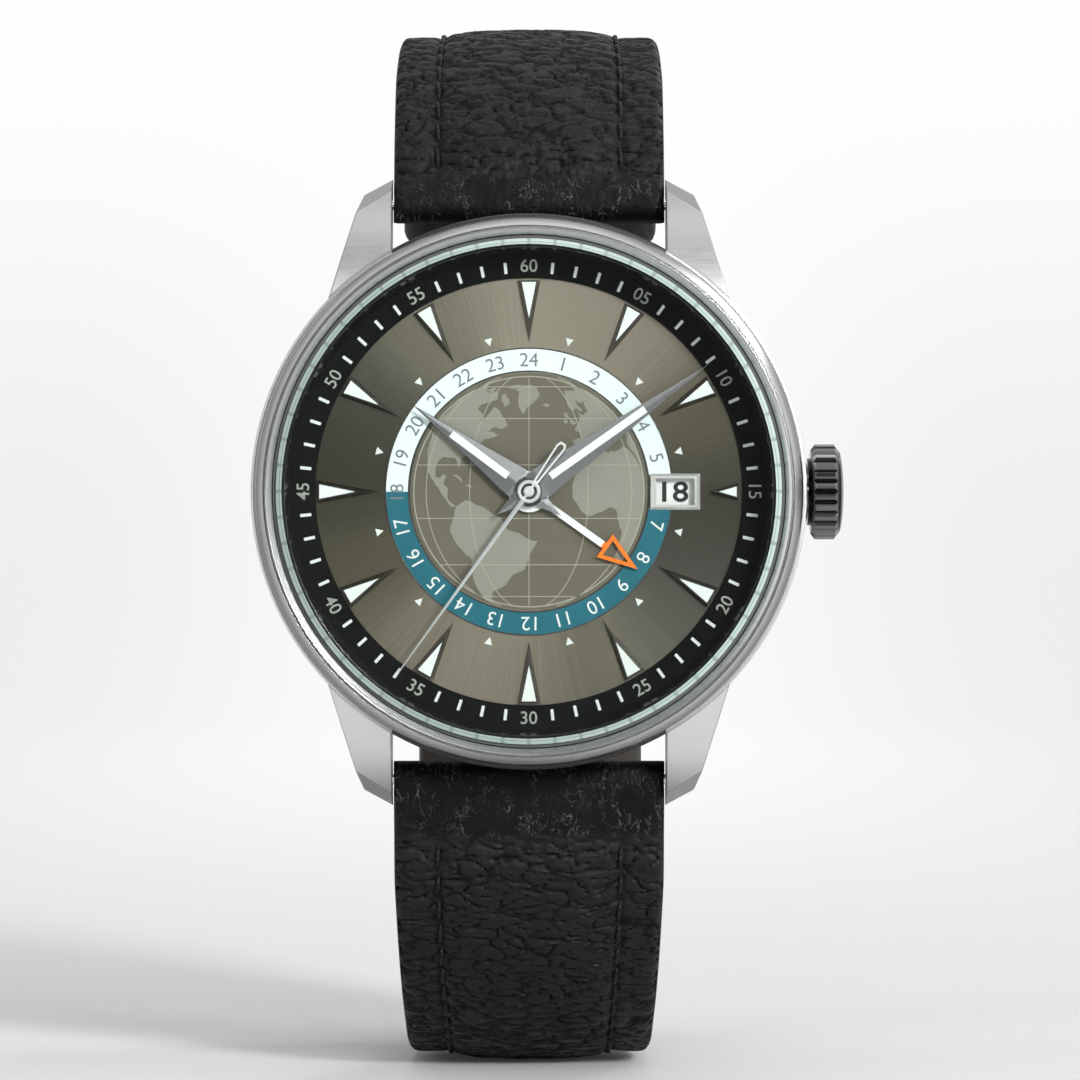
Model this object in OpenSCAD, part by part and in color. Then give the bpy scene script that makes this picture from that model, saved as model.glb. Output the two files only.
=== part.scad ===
// A self-winding wristwatch with a second time zone hand, a date window and a buckled leather strap.
// It stands upright: the dial faces -Y, twelve o'clock is +Z and the crown is on +X.
// Each piece is drawn dial up, with z counted from the rear face of the case back, and then stood up.

/* [Case] */
// How far the middle case stands out past the bezel
case_lip = 0.3; // [0.2:0.05:0.5]
// Width of the bezel
bezel_w = 1.35; // [1.2:0.05:1.5]
// Height of the bezel above the middle case
bezel_h = 1.75; // [1.5:0.05:2.0]
// How far the case back laps over the rim of the bore
back_lap = 0.75; // [0.6:0.05:0.9]
// Thickness of the case back's flange
back_flange = 1.2; // [1.1:0.05:1.3]
// Diameter of the window in the case back
back_window_d = 28.4; // [27.0:0.1:29.0]
// Thickness of the window in the case back
back_window_t = 1.0; // [0.9:0.05:1.1]
// Width of the ledge that the dial lies against
dial_ledge = 0.25; // [0.2:0.05:0.35]
// Width of the polished wall that slopes from the minute ring up to the crystal
wall_w = 0.4; // [0.25:0.05:0.55]

/* [Crystal] */
// Width of the ledge under the crystal's edge
crystal_ledge = 0.6; // [0.4:0.05:0.65]
// Room for the gasket round the crystal
gasket_w = 0.25; // [0.25:0.05:0.45]
// How far the crystal's underside lies above the middle case
crystal_lift = 0.72; // [0.6:0.04:0.9]
// Thickness of the crystal
crystal_t = 1.55; // [1.4:0.05:1.8]
// Width of the bevel round the crystal
crystal_bevel = 0.45; // [0.3:0.05:0.5]

/* [Lugs] */
// Gap between two lugs, which is the width of the strap
lug_gap = 20; // [19.6:0.1:20.4]
// Distance from the rim of the case to the spring bars
bar_out = 0.9; // [0.85:0.05:1.2]
// Distance from a spring bar to a lug's tip
lug_end = 2.0; // [1.8:0.1:2.3]
// Width of a lug at its tip
lug_tip_w = 2.1; // [2.0:0.1:2.4]
// Width of a lug at the case
lug_root_w = 4.9; // [4.6:0.1:5.2]
// Height of the lugs' curved top
lug_top = 9.17; // [9.0:0.05:9.5]
// Height of the curved top where it meets a lug's end face
lug_end_z = 5.2; // [4.8:0.1:5.6]
// Direction of a lug's end face, from the crown side
bevel_turn = 62; // [58:1:66]
// Slope of a lug's end face, from upright
bevel_slope = 12; // [9:1:15]

/* [Crown] */
// Diameter of the crown
crown_d = 6.9; // [6.5:0.1:7.1]
// Length of the crown's fluted barrel
crown_l = 2.25; // [2.2:0.05:2.7]
// Number of flutes on the crown
crown_flutes = 26; // [22:1:30]
// Height of the winding stem above the movement's train
stem_up = 0.35; // [0.33:0.01:0.37]
// Distance that the crown pulls out
crown_travel = 0.9; // [0.6:0.05:1.0]

/* [Dial] */
// Thickness of the dial
dial_t = 0.4; // [0.35:0.01:0.42]
// Diameter of the visible dial inside the minute ring
dial_visible_d = 30.94; // [30.4:0.02:31.6]
// Width of the minute ring
ring_w = 1.73; // [1.6:0.01:1.9]
// Inner diameter of the twenty-four hour band
band_in_d = 17.44; // [17.2:0.02:17.6]
// Outer diameter of the twenty-four hour band
band_out_d = 20.8; // [20.6:0.02:21.0]
// Distance from the axis to the middle of the date window
date_x = 10.6; // [10.5:0.05:10.7]
// Width of the date window
date_w = 2.75; // [2.6:0.05:2.85]
// Height of the date window
date_h = 1.9; // [1.8:0.05:2.0]
// Gap between the markers and the minute ring
marker_edge = 0.16; // [0.12:0.01:0.3]
// Length of a marker
marker_l = 4.46; // [4.2:0.02:4.6]
// Length of the short marker beside the date window
short_l = 2.15; // [1.9:0.05:2.3]
// Width of a marker's outer end
marker_w = 1.66; // [1.5:0.02:1.8]
// Height of a marker above the dial
marker_h = 0.5; // [0.4:0.02:0.55]

/* [Hands] */
// Length of the hour hand from the axis
hour_len = 10.5; // [10.0:0.1:10.6]
// Gap between the tips of the minute and seconds hands and the wall round the dial
tip_gap = 1.1; // [0.6:0.1:1.7]
// How far the second time zone hand stops inside its band
gmt_short = 0.73; // [0.5:0.01:1.0]
// Room between the seconds hand and the crystal
hand_room = 0.87; // [0.7:0.01:1.1]
// Length of the hands' tails
tail_len = 2.9; // [2.7:0.1:3.1]
// Half width of the hour and minute hands
hand_half_w = 1.15; // [1.1:0.05:1.25]
// Angle of the hour hand, clockwise from twelve
hour_turn = 306.7; // [0:0.1:360]
// Angle of the minute hand, clockwise from twelve
minute_turn = 54.7; // [0:0.1:360]
// Angle of the seconds hand, clockwise from twelve
seconds_turn = 215.8; // [0:0.1:360]
// Angle of the second time zone hand, clockwise from twelve
gmt_turn = 125.5; // [0:0.1:360]

/* [Movement] */
// Diameter of the movement
movement_d = 25.6; // [25.4:0.05:25.7]
// How far the rotor stays inside the movement's rim
rotor_inset = 0.4; // [0.2:0.05:0.8]
// Thickness of the main plate
plate_t = 1.6; // [1.58:0.01:1.65]
// Diameter of the balance wheel
balance_d = 7.5; // [7.1:0.05:7.55]
// Distance between the centre and third arbors
third_dist = 4.05; // [4.03:0.01:4.1]
// Distance between the centre and barrel arbors
barrel_dist = 5.88; // [5.84:0.01:5.95]
// Distance between the centre and escape arbors
escape_dist = 4.06; // [4.04:0.01:4.12]
// Distance between the centre and balance arbors
balance_dist = 8.2; // [8.15:0.01:8.25]
// Distance between the centre and minute wheel arbors
motion_dist = 2.4; // [2.38:0.01:2.44]

/* [Strap] */
// Height of the spring bars above the case back
bar_z = 2.7; // [2.65:0.05:2.75]
// Thickness of the strap where it folds round a spring bar
end_t = 2.7; // [2.5:0.05:2.8]
// Thickness of the strap where it is padded
pad_t = 3.9; // [3.4:0.1:4.3]
// Thickness of the strap at the buckle
tail_t = 2.2; // [2.0:0.05:2.3]
// Width of the strap at the buckle
tail_w = 18; // [17.4:0.1:18.4]
// How far the upper strap bows out past its spring bar
bow_up = 12.5; // [11.7:0.1:13.5]
// How far the lower strap bows out past its spring bar
bow_down = 20.7; // [19.7:0.1:21.5]
// Straight length of the upper strap between its two bends
straight_up = 1.0; // [0.5:0.1:4.5]
// Straight length of the lower strap between its two bends
straight_down = 1.8; // [0.5:0.1:3.0]
// Straight length of the upper strap at the buckle
flat_up = 5.2; // [5.0:0.1:7.0]
// Angle at which the upper strap leaves its lugs
dive_up = 20; // [18:0.5:22]
// Angle at which the lower strap leaves its lugs
dive_down = 10; // [8:0.5:12]
// Length of the strap's tongue end past the upper rear bend's start
tail_run = 26; // [22:0.5:30]
// Pitch of the adjusting holes
hole_pitch = 6.5; // [6:0.1:7]

/* [Buckle] */
// Distance from the buckle's bar to its cross bar
buckle_l = 8.6; // [8.2:0.1:9.2]
// Radius of the buckle's cross bar
cross_r = 0.9; // [0.8:0.05:1.0]
// Thickness of the buckle's side arms
arm_t = 1.4; // [1.2:0.1:1.6]
// Width of the tongue
tongue_w = 1.5; // [1.3:0.1:1.6]
// Width of a keeper along the strap
keeper_w = 3.0; // [2.6:0.1:3.2]
// Thickness of a keeper's leather
keeper_t = 0.9; // [0.8:0.05:1.0]

/* [Clearances] */
// Running clearance of shafts and pivots in their holes
run_gap = 0.03; // [0.02:0.01:0.04]
// Clearance between parts that are assembled without turning
seat_gap = 0.05; // [0.04:0.01:0.06]
// Clearance between leather and what it lies against
leather_gap = 0.2; // [0.15:0.05:0.3]

/* [Hidden] */
$fn = 96;

steel = "silver";
polished = "lightgray";
brass = "goldenrod";
nickel = "gainsboro";
leather = "#2a2a2c";
eps = 0.01;

// Heights of the layers, counted from the case back's rear face
rotor_z = back_window_t + 0.45;
rotor_t = 0.35;
rotor_rim_t = 0.9;
auto_z = rotor_z + 0.5;
auto_t = 0.45;
rotor_gear_z = auto_z + auto_t + 0.05;
rotor_gear_t = 0.15;
top_wheels_z = rotor_gear_z + rotor_gear_t + 0.08;
top_wheels_t = 0.27;
bridge_z = top_wheels_z + top_wheels_t + 0.1;
bridge_t = 0.55;
bridge_under = bridge_z + bridge_t;
fourth_z = bridge_under + 0.1;
drum_z = fourth_z + 0.25;
drum_t = 0.9;
third_z = drum_z + 0.05;
great_z = drum_z + 0.55;
balance_z = fourth_z + 0.05;
escape_z = balance_z + 0.8;
centre_z = drum_z + drum_t + 0.1;
plate_z = centre_z + 0.2;
stem_z = plate_z + stem_up;
dial_z = plate_z + plate_t;
dial_top = dial_z + dial_t;
ring_t = 0.3;
wall_foot = dial_top + ring_t + 0.01;
gmt_z = dial_top + 0.3;
hour_z = gmt_z + 0.4;
minute_z = hour_z + 0.5;
seconds_z = minute_z + 0.5;
crystal_z = seconds_z + hand_room;
case_top = crystal_z - crystal_lift;
bezel_top = case_top + bezel_h;
wheel_t = 0.12;
pinion_t = 0.3;
motion_z = plate_z + 0.5;
hour_wheel_z = motion_z + 0.3;
gmt_wheel_z = hour_wheel_z + 0.25;
date_z = plate_z + 1.1;
date_t = 0.3;

// Radii of the case, from the dial outward
opening_r = dial_visible_d / 2 + ring_w;
bore_r = opening_r + dial_ledge;
wall_top_r = opening_r + wall_w;
crystal_r = wall_top_r + crystal_ledge;
wall_r = crystal_r + gasket_w;
bezel_r = wall_r + bezel_w;
case_r = bezel_r + case_lip;
back_r = bore_r + back_lap;
window_r = back_window_d / 2;
dial_r = bore_r - 0.15;
movement_r = movement_d / 2;
plate_rim = 0.75;
rotor_r = movement_r - rotor_inset;

// Depths of the flank's curve
flank_low_z = back_flange;
flank_low_r = back_r + 0.25;
flank_bulge_z = case_top - 2.6;

// Crown and stem, along x
tube_r = 1.5;
tube_in = bore_r;
crown_x = case_r + 0.12;
crown_collar_r = 2.45;
tube_out = 1.45;
stem_r = 0.45;
stem_groove_x = 10.3;
stem_square = 0.6;
pilot_r = 0.25;
lever_len = 2.2;

// Train: tooth counts and places, seen from the dial
great_teeth = 72;
centre_pinion_teeth = 12;
centre_teeth = 80;
third_pinion_teeth = 10;
third_teeth = 75;
fourth_pinion_teeth = 10;
fourth_teeth = 96;
escape_pinion_teeth = 8;
escape_teeth = 20;
cannon_teeth = 12;
minute_teeth = 36;
minute_pinion_teeth = 10;
gmt_pinion_teeth = 8;
hour_teeth = 40;
gmt_teeth = 64;
date_wheel_teeth = 80;
date_teeth = 31;
ratchet_teeth = 50;
crown_wheel_teeth = 31;
winding_teeth = 14;
rotor_teeth = 32;
reverser_teeth = 48;

function polar(r, a) = [r * cos(a), r * sin(a)];
barrel_turn = 70;
third_turn = 262;
escape_turn = 192;
balance_turn = 146;
motion_turn = 300;
date_turn = 200;
reverser_turn = 232;
barrel_at = polar(barrel_dist, barrel_turn);
third_at = polar(third_dist, third_turn);
escape_at = polar(escape_dist, escape_turn);
balance_at = polar(balance_dist, balance_turn);
motion_at = polar(motion_dist, motion_turn);
skirt_r = 2.2;
crown_wheel_at = [7.05, 0];
pallet_from_escape = 1.9;
lever_line = (balance_at - escape_at) / norm(balance_at - escape_at);
lever_turn = atan2(lever_line[1], lever_line[0]);
pallet_at = escape_at + pallet_from_escape * lever_line;
ratchet_dist = norm(crown_wheel_at - barrel_at);
ratchet_turn = atan2(crown_wheel_at[1] - barrel_at[1], crown_wheel_at[0] - barrel_at[0]);

// Tooth sizes that follow from the distances
great_mod = 2 * barrel_dist / (great_teeth + centre_pinion_teeth);
centre_mod = 2 * third_dist / (centre_teeth + third_pinion_teeth);
third_mod = 2 * third_dist / (third_teeth + fourth_pinion_teeth);
fourth_mod = 2 * escape_dist / (fourth_teeth + escape_pinion_teeth);
cannon_mod = 2 * motion_dist / (cannon_teeth + minute_teeth);
hour_mod = 2 * motion_dist / (minute_pinion_teeth + hour_teeth);
gmt_mod = 2 * motion_dist / (gmt_pinion_teeth + gmt_teeth);
ratchet_mod = 2 * ratchet_dist / (ratchet_teeth + crown_wheel_teeth);
date_dist = hour_mod * (hour_teeth + date_wheel_teeth) / 2;
date_at = polar(date_dist, date_turn);
rotor_mod = 0.1;
winding_mod = 0.09;
reverser_dist = rotor_mod * (rotor_teeth + reverser_teeth) / 2;
reverser_at = polar(reverser_dist, reverser_turn);
date_ring_in = 9.0;
date_ring_out = movement_r - plate_rim + 0.1;
pivot_r = 0.12;
arbor_r = 0.22;
jewel_r = 0.55;

// Strap: legs of the two paths as [length, bend radius], a radius of 0 for a straight leg
bar_y = case_r + bar_out;
front_r_up = bow_up / (1 - sin(dive_up));
front_r_down = bow_down / (1 - sin(dive_down));
layer_step = tail_t + leather_gap;
back_r_up = bar_y + bow_up - flat_up;
loop_depth = straight_up + back_r_up + front_r_up * cos(dive_up) - bar_z;
back_r_down = bar_z - front_r_down * cos(dive_down) + loop_depth + layer_step - straight_down;
flat_down = bar_y + bow_down - back_r_down;
function arc_len(r, a) = r * a * PI / 180;
legs_up = [[arc_len(front_r_up, 90 - dive_up), front_r_up], [straight_up, 0],
    [arc_len(back_r_up, 90), back_r_up], [flat_up, 0]];
legs_down = [[arc_len(front_r_down, 90 - dive_down), front_r_down], [straight_down, 0],
    [arc_len(back_r_down, 90), back_r_down], [flat_down + flat_up, 0],
    [tail_run, back_r_up + layer_step]];
len_up = legs_up[0][0] + legs_up[1][0] + legs_up[2][0] + legs_up[3][0];
len_down = legs_down[0][0] + legs_down[1][0] + legs_down[2][0] + legs_down[3][0] + tail_run;
strap_w = lug_gap - 2 * 0.1;
buckle_bar_r = 0.7;
bar_r = 0.75;
bar_pin_r = 0.4;
buckle_at = [0, -loop_depth];
cross_at = [-buckle_l, -loop_depth - layer_step - tail_t / 2 - 0.3 - cross_r];
frame_half = tail_w / 2 + 0.4;
rear_bend_at = [flat_up, -loop_depth + back_r_up];
hole_mid = -1.5;

// Stand a piece up: its own z goes to -Y and its own y to +Z
module upright() rotate([90, 0, 0]) children();

// Round bar or disc between two heights
module disc(r, z0, z1) translate([0, 0, z0]) cylinder(r = r, h = z1 - z0);

// Hollow round piece between two heights
module tube(r_out, r_in, z0, z1) difference() {
    disc(r_out, z0, z1);
    disc(r_in, z0 - 1, z1 + 1);
}

// Flat outline made thick between two heights
module slab(z0, z1) translate([0, 0, z0]) linear_extrude(z1 - z0) children();

module at(p) translate([p[0], p[1], 0]) children();

// Place children along x, with their own z pointing out of the case at the stem's height
module along_x(x) translate([x, 0, stem_z]) rotate([0, 90, 0]) children();

// Round sector, as a flat outline
module sector(r, a0, a1) intersection() {
    circle(r = r);
    polygon([[0, 0], for (i = [0:6]) polar(2 * r, a0 + (a1 - a0) * i / 6)]);
}

// Gear outline of trapezoid teeth, its first tooth at the angle turn
module gear_outline(teeth, size, turn = 0) {
    pitch = 360 / teeth;
    r = teeth * size / 2;
    tip = r + 0.85 * size;
    root = r - 1.15 * size;
    polygon([for (i = [0:teeth - 1]) each [
        polar(root, turn + pitch * (i - 0.3)), polar(tip, turn + pitch * (i - 0.12)),
        polar(tip, turn + pitch * (i + 0.12)), polar(root, turn + pitch * (i + 0.3))]]);
}

// Angle of the first tooth of a gear that meshes with another one, toward the angle line
function mesh_turn(first, teeth, line, other_teeth) =
    line + 180 + (line - first) * teeth / other_teeth + 180 / other_teeth;

// Spoked wheel
module wheel(teeth, size, z0, z1, turn = 0, hub = 0.5, bore = 0, spokes = 4, rim = 0.35) {
    root = teeth * size / 2 - 1.15 * size;
    slab(z0, z1) difference() {
        union() {
            difference() {
                gear_outline(teeth, size, turn);
                circle(r = root - rim);
            }
            circle(r = hub);
            for (i = [0:spokes - 1]) rotate(360 / spokes * i + 20)
                translate([0, -0.14]) square([root - rim / 2, 0.28]);
        }
        if (bore > 0) circle(r = bore);
    }
}

// Solid toothed pinion
module pinion(teeth, size, z0, z1, turn = 0, bore = 0) slab(z0, z1) difference() {
    gear_outline(teeth, size, turn);
    if (bore > 0) circle(r = bore);
}

// Arbor with a thinner pivot at each end
module arbor(z0, z1, shoulder = 0.45) {
    disc(pivot_r, z0, z1);
    disc(arbor_r, z0 + shoulder, z1 - shoulder);
}

// CASE

// Half section of the middle case: the bore, the polished wall, the rim and the rounded flank
flank_in = case_r - flank_low_r;
flank_r = (pow(flank_in, 2) + pow(flank_bulge_z - flank_low_z, 2)) / (2 * flank_in);
module case_section() {
    polygon([[bore_r, flank_bulge_z], [bore_r, wall_foot], [opening_r, wall_foot],
        [wall_top_r, crystal_z - 0.02], [wall_r, crystal_z - 0.02], [wall_r, case_top],
        [case_r - 0.15, case_top], [case_r, case_top - 0.15], [case_r, flank_bulge_z]]);
    intersection() {
        translate([bore_r, flank_low_z]) square([4, flank_bulge_z - flank_low_z + 0.4]);
        translate([case_r - flank_r, flank_bulge_z]) circle(r = flank_r);
    }
}

// One lug: a curved top that falls toward the tip, a nearly flat foot and a steep end face
lug_reach = bar_y + lug_end;
lug_tip_x = lug_gap / 2 + lug_tip_w;
lug_root_x = lug_gap / 2 + lug_root_w;
lug_root_y = case_r - 8.1;
lug_top_y = case_r - 9.6;
lug_end_y = lug_reach - 1.4;
lug_tip_z = 0.6;
lug_top_r = (pow(lug_end_y - lug_top_y, 2) + pow(lug_top - lug_end_z, 2)) / (2 * (lug_top - lug_end_z));
lug_hole = 0.8;

module lug() difference() {
    intersection() {
        across(lug_top_y, lug_top - lug_top_r, lug_top_r, 2 * lug_root_x + 2);
        side_plate(2 * lug_root_x + 2) polygon([[lug_root_y, case_top], [lug_reach + 1, case_top],
            [lug_reach + 1, lug_tip_z - 0.1], [lug_reach, lug_tip_z], [lug_root_y + 4, flank_low_z],
            [lug_root_y, flank_low_z]]);
        slab(0, case_top) polygon([[lug_gap / 2, lug_root_y], [lug_root_x + 0.4, lug_root_y],
            [lug_root_x, lug_root_y + 0.6], [lug_tip_x, lug_reach - 1.1], [lug_tip_x, lug_reach + 1],
            [lug_gap / 2, lug_reach + 1]]);
    }
    translate([lug_gap / 2, lug_reach, lug_tip_z]) rotate([0, 0, bevel_turn]) rotate([0, -bevel_slope, 0])
        translate([0, -20, -20]) cube([20, 40, 40]);
}

module mid_case() color(steel) upright() difference() {
    union() {
        rotate_extrude() case_section();
        difference() {
            for (sx = [0, 1], sy = [0, 1]) mirror([sx, 0, 0]) mirror([0, sy, 0]) lug();
            disc(case_r - 1.2, -1, case_top + 1);
        }
    }
    for (sy = [-1, 1]) across(sy * bar_y, bar_z, bar_pin_r + seat_gap, lug_gap + 2 * lug_hole);
    along_x(bore_r - 1) cylinder(r = tube_r, h = 5);
}

module bezel() color(polished) upright() rotate_extrude() polygon([
    [wall_r + seat_gap, case_top + 0.02], [bezel_r, case_top + 0.02],
    [bezel_r, case_top + bezel_h * 0.32], [bezel_r - 0.12, case_top + bezel_h * 0.5],
    [bezel_r - 0.62, bezel_top - 0.05], [bezel_r - 0.68, bezel_top - 0.2],
    [bezel_r - 0.74, bezel_top - 0.2], [bezel_r - 0.78, bezel_top],
    [bezel_r - 0.86, bezel_top], [wall_r + seat_gap, bezel_top - 0.25]]);

module crystal() color("aliceblue", 0.3) upright() rotate_extrude() polygon([
    [0, crystal_z], [crystal_r, crystal_z], [crystal_r, crystal_z + crystal_t - crystal_bevel],
    [crystal_r - crystal_bevel, crystal_z + crystal_t], [0, crystal_z + crystal_t]]);

module crystal_gasket() color("#202020") upright()
    tube(wall_r - 0.02, crystal_r + 0.02, crystal_z, crystal_z + crystal_t * 0.55);

// The screwed ring holds the rear window on a lip, with six notches for the key
module case_back() color(steel) upright() difference() {
    rotate_extrude() polygon([
        [window_r + seat_gap, 0], [back_r - 0.3, 0], [back_r, 0.3], [back_r, back_flange],
        [bore_r - run_gap, back_flange], [bore_r - run_gap, back_flange + 0.8],
        [bore_r - 1.2, back_flange + 0.8], [bore_r - 1.2, back_flange + 0.15],
        [window_r - 0.6, back_flange + 0.15], [window_r - 0.6, back_window_t + 0.02],
        [window_r + seat_gap, back_window_t + 0.02]]);
    for (i = [0:5]) rotate(60 * i) translate([back_r - 1.6, -0.9, -1]) cube([1.0, 1.8, 1.45]);
    rotate_extrude() translate([bore_r - 0.37, back_flange + 0.02]) square([0.6, 0.35]);
}

module back_crystal() color("aliceblue", 0.3) upright() rotate_extrude() polygon([
    [0, 0], [window_r - 0.15, 0], [window_r, 0.15], [window_r, back_window_t], [0, back_window_t]]);

module back_gasket() color("#202020") upright() rotate_extrude()
    translate([bore_r - 0.18, back_flange + 0.195]) circle(r = 0.17);

// Spacer that holds the movement in the case, open for the stem
module movement_ring() color("silver") upright() difference() {
    tube(bore_r, movement_r, bridge_under, dial_z);
    translate([movement_r - 1, -1, stem_z - 1]) cube([6, 2, 3]);
    for (i = [0:2]) rotate(60 + 120 * i) translate([movement_r + 1.6, 0, bridge_under - 1])
        cylinder(r = 0.6, h = 2);
}

// CROWN

module crown_tube() color(polished) upright() along_x(tube_in) difference() {
    cylinder(r = tube_r, h = crown_x + tube_out - tube_in);
    translate([0, 0, -1]) cylinder(r = stem_r + run_gap, h = 9);
}

crown_bore = tube_r + 0.55;
crown_shoulder = 0.4;
dome_h = 0.4;
flute_w = 0.4;
module crown() color(steel) upright() along_x(crown_x) difference() {
    union() {
        cylinder(r = crown_collar_r, h = 0.5);
        rotate_extrude() polygon(concat(
            [[0, 0.25], [crown_d / 2 - 0.35, 0.25], [crown_d / 2, 0.55], [crown_d / 2, crown_l - 0.3]],
            [for (a = [0:90 / 7:90.1])
                [(crown_d / 2 - crown_shoulder) * cos(a), crown_l + dome_h * sin(a)]]));
    }
    translate([0, 0, -1]) cylinder(r = crown_bore, h = tube_out + 1.15);
    cylinder(r = stem_r, h = tube_out + 0.75);
    for (i = [0:crown_flutes - 1]) rotate(360 / crown_flutes * i)
        translate([crown_d / 2 + 0.02, 0, 0.1]) rotate(45)
            translate([-flute_w / 2, -flute_w / 2, 0]) cube([flute_w, flute_w, crown_l]);
}

module crown_gasket() color("#202020") upright() along_x(crown_x + 0.12)
    tube(crown_bore - 0.02, tube_r + run_gap, 0, 0.38);

// Stem: pilot, square for the sliding pinion, groove for the setting lever, and shaft to the crown
module winding_stem() color(steel) upright() difference() {
    union() {
        along_x(5.0) cylinder(r = pilot_r, h = 1.8);
        translate([6.7, -stem_square / 2, stem_z - stem_square / 2])
            cube([3.05, stem_square, stem_square]);
        along_x(9.7) cylinder(r = stem_r, h = crown_x + tube_out + 0.75 - 9.7);
    }
    along_x(stem_groove_x - 0.27) tube(1, pilot_r, 0, 0.54);
}

module winding_pinion() color(steel) upright() along_x(8.55)
    pinion(winding_teeth, winding_mod, 0, 0.95, 90, 0.46);

module sliding_pinion() color(steel) upright() along_x(7.0) difference() {
    union() {
        pinion(winding_teeth, winding_mod, 0, 0.35);
        disc(0.5, 0.2, 0.9);
        pinion(winding_teeth, winding_mod, 0.75, 1.3);
    }
    translate([-stem_square / 2 - run_gap, -stem_square / 2 - run_gap, -1])
        cube([stem_square + 2 * run_gap, stem_square + 2 * run_gap, 4]);
}

// Lever whose pin rides in the stem's groove
lever_z = stem_z - 0.9;
lever_at = [stem_groove_x, -lever_len];
module setting_lever() color(steel) upright() difference() {
    union() {
        slab(lever_z, lever_z + 0.2) {
            translate(lever_at) circle(r = 0.55);
            translate([stem_groove_x - 0.3, -lever_len]) square([0.6, lever_len]);
            translate([stem_groove_x, 0]) circle(r = 0.3);
            translate(lever_at) rotate(200) translate([0, -0.25]) square([1.7, 0.5]);
        }
        at([stem_groove_x, 0]) disc(0.15, lever_z + 0.1, stem_z - 0.3);
    }
    at(lever_at) disc(0.25 + run_gap, lever_z - 1, lever_z + 1);
}

// DIAL

module dial() color("#6f6a5b") upright() difference() {
    disc(dial_r, dial_z, dial_top);
    disc(1.15, dial_z - 1, dial_top + 1);
    translate([date_x - date_w / 2, -date_h / 2, dial_z - 1]) cube([date_w, date_h, 3]);
    for (d = [band_in_d, band_out_d]) tube(d / 2 + 0.06, d / 2 - 0.06, dial_top - 0.05, dial_top + 1);
}

module chapter_ring() color("#101211") upright() rotate_extrude() polygon([
    [dial_visible_d / 2, dial_top], [dial_r, dial_top], [dial_r, dial_top + ring_t],
    [opening_r - 0.05, dial_top + ring_t], [dial_visible_d / 2, dial_top + 0.16]]);

marker_out = dial_visible_d / 2 - marker_edge;
marker_in = marker_out - marker_l;
// Applied wedge marker with two sloping sides and a flat top for its insert
module wedge_marker(r_in, r_out, w, insert_in, insert_w) {
    h = marker_h;
    low = 0.06;
    difference() {
        polyhedron(
            points = [[0, r_in, 0], [w / 2, r_out, 0], [-w / 2, r_out, 0],
                [0, r_in, low], [w / 2, r_out, low], [-w / 2, r_out, low],
                [0, insert_in - 0.3, h], [insert_w / 2 + 0.06, r_out - 0.02, h],
                [-insert_w / 2 - 0.06, r_out - 0.02, h]],
            faces = [[0, 1, 2], [0, 3, 4, 1], [1, 4, 5, 2], [2, 5, 3, 0], [3, 6, 7], [3, 7, 4],
                [4, 7, 8], [4, 8, 5], [5, 8, 6], [5, 6, 3], [6, 8, 7]]);
        translate([0, 0, h - 0.12]) linear_extrude(1) polygon([[0, insert_in],
            [insert_w / 2, r_out - 0.12], [-insert_w / 2, r_out - 0.12]]);
    }
}

module marker_insert(r_out, insert_in, insert_w)
    translate([0, 0, marker_h - 0.1]) linear_extrude(0.11) polygon([[0, insert_in + 0.12],
        [insert_w / 2 - 0.03, r_out - 0.14], [-insert_w / 2 + 0.03, r_out - 0.14]]);

short_out = marker_out - 0.14;
short_in = short_out - short_l;
insert_w = marker_w - 0.56;
module hour_markers() color(polished) upright() translate([0, 0, dial_top]) {
    for (i = [1:11]) rotate(-30 * (i + 3))
        wedge_marker(marker_in, marker_out, marker_w, marker_in + 1.6, insert_w);
    rotate(-90) wedge_marker(short_in, short_out, marker_w - 0.36, short_in + 0.6, insert_w - 0.3);
}

module marker_lume() color("white") upright() translate([0, 0, dial_top]) {
    for (i = [1:11]) rotate(-30 * (i + 3)) marker_insert(marker_out, marker_in + 1.6, insert_w);
    rotate(-90) marker_insert(short_out, short_in + 0.6, insert_w - 0.3);
}

// Bevelled frame round the date window
module date_frame() color(polished) upright() translate([date_x, 0, dial_top]) difference() {
    polyhedron(
        points = [for (k = [[0.42, 0], [0.42, 0.06], [0.2, 0.22]], s = [[1, 1], [-1, 1], [-1, -1], [1, -1]])
            [s[0] * (date_w / 2 + k[0]), s[1] * (date_h / 2 + k[0] * 0.85), k[1]]],
        faces = [[0, 1, 2, 3], [0, 4, 5, 1], [1, 5, 6, 2], [2, 6, 7, 3], [3, 7, 4, 0],
            [4, 8, 9, 5], [5, 9, 10, 6], [6, 10, 11, 7], [7, 11, 8, 4], [11, 10, 9, 8]]);
    translate([-date_w / 2, -date_h / 2, -1]) cube([date_w, date_h, 3]);
}

// HANDS

blade_t = 0.22;
minute_len = opening_r - tip_gap;
seconds_len = opening_r - tip_gap;
gmt_len = band_out_d / 2 - gmt_short;

// Faceted blade with a ridge, a tail, a round boss and a bore
module faceted_hand(length, z, bore, boss) translate([0, 0, z]) difference() {
    union() {
        polyhedron(
            points = [[0, length, 0], [-hand_half_w, 1.15, 0], [0, -tail_len, 0], [hand_half_w, 1.15, 0],
                [0, length, 0.05], [-hand_half_w, 1.15, 0.05], [0, -tail_len, 0.05],
                [hand_half_w, 1.15, 0.05], [0, 1.15, blade_t], [0, length - 0.4, 0.1]],
            faces = [[0, 1, 2, 3], [0, 4, 5, 1], [1, 5, 6, 2], [2, 6, 7, 3], [3, 7, 4, 0],
                [4, 9, 5], [9, 8, 5], [8, 6, 5], [8, 7, 6], [9, 7, 8], [4, 7, 9]]);
        disc(boss, 0, blade_t);
    }
    disc(bore, -1, 1);
}

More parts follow.
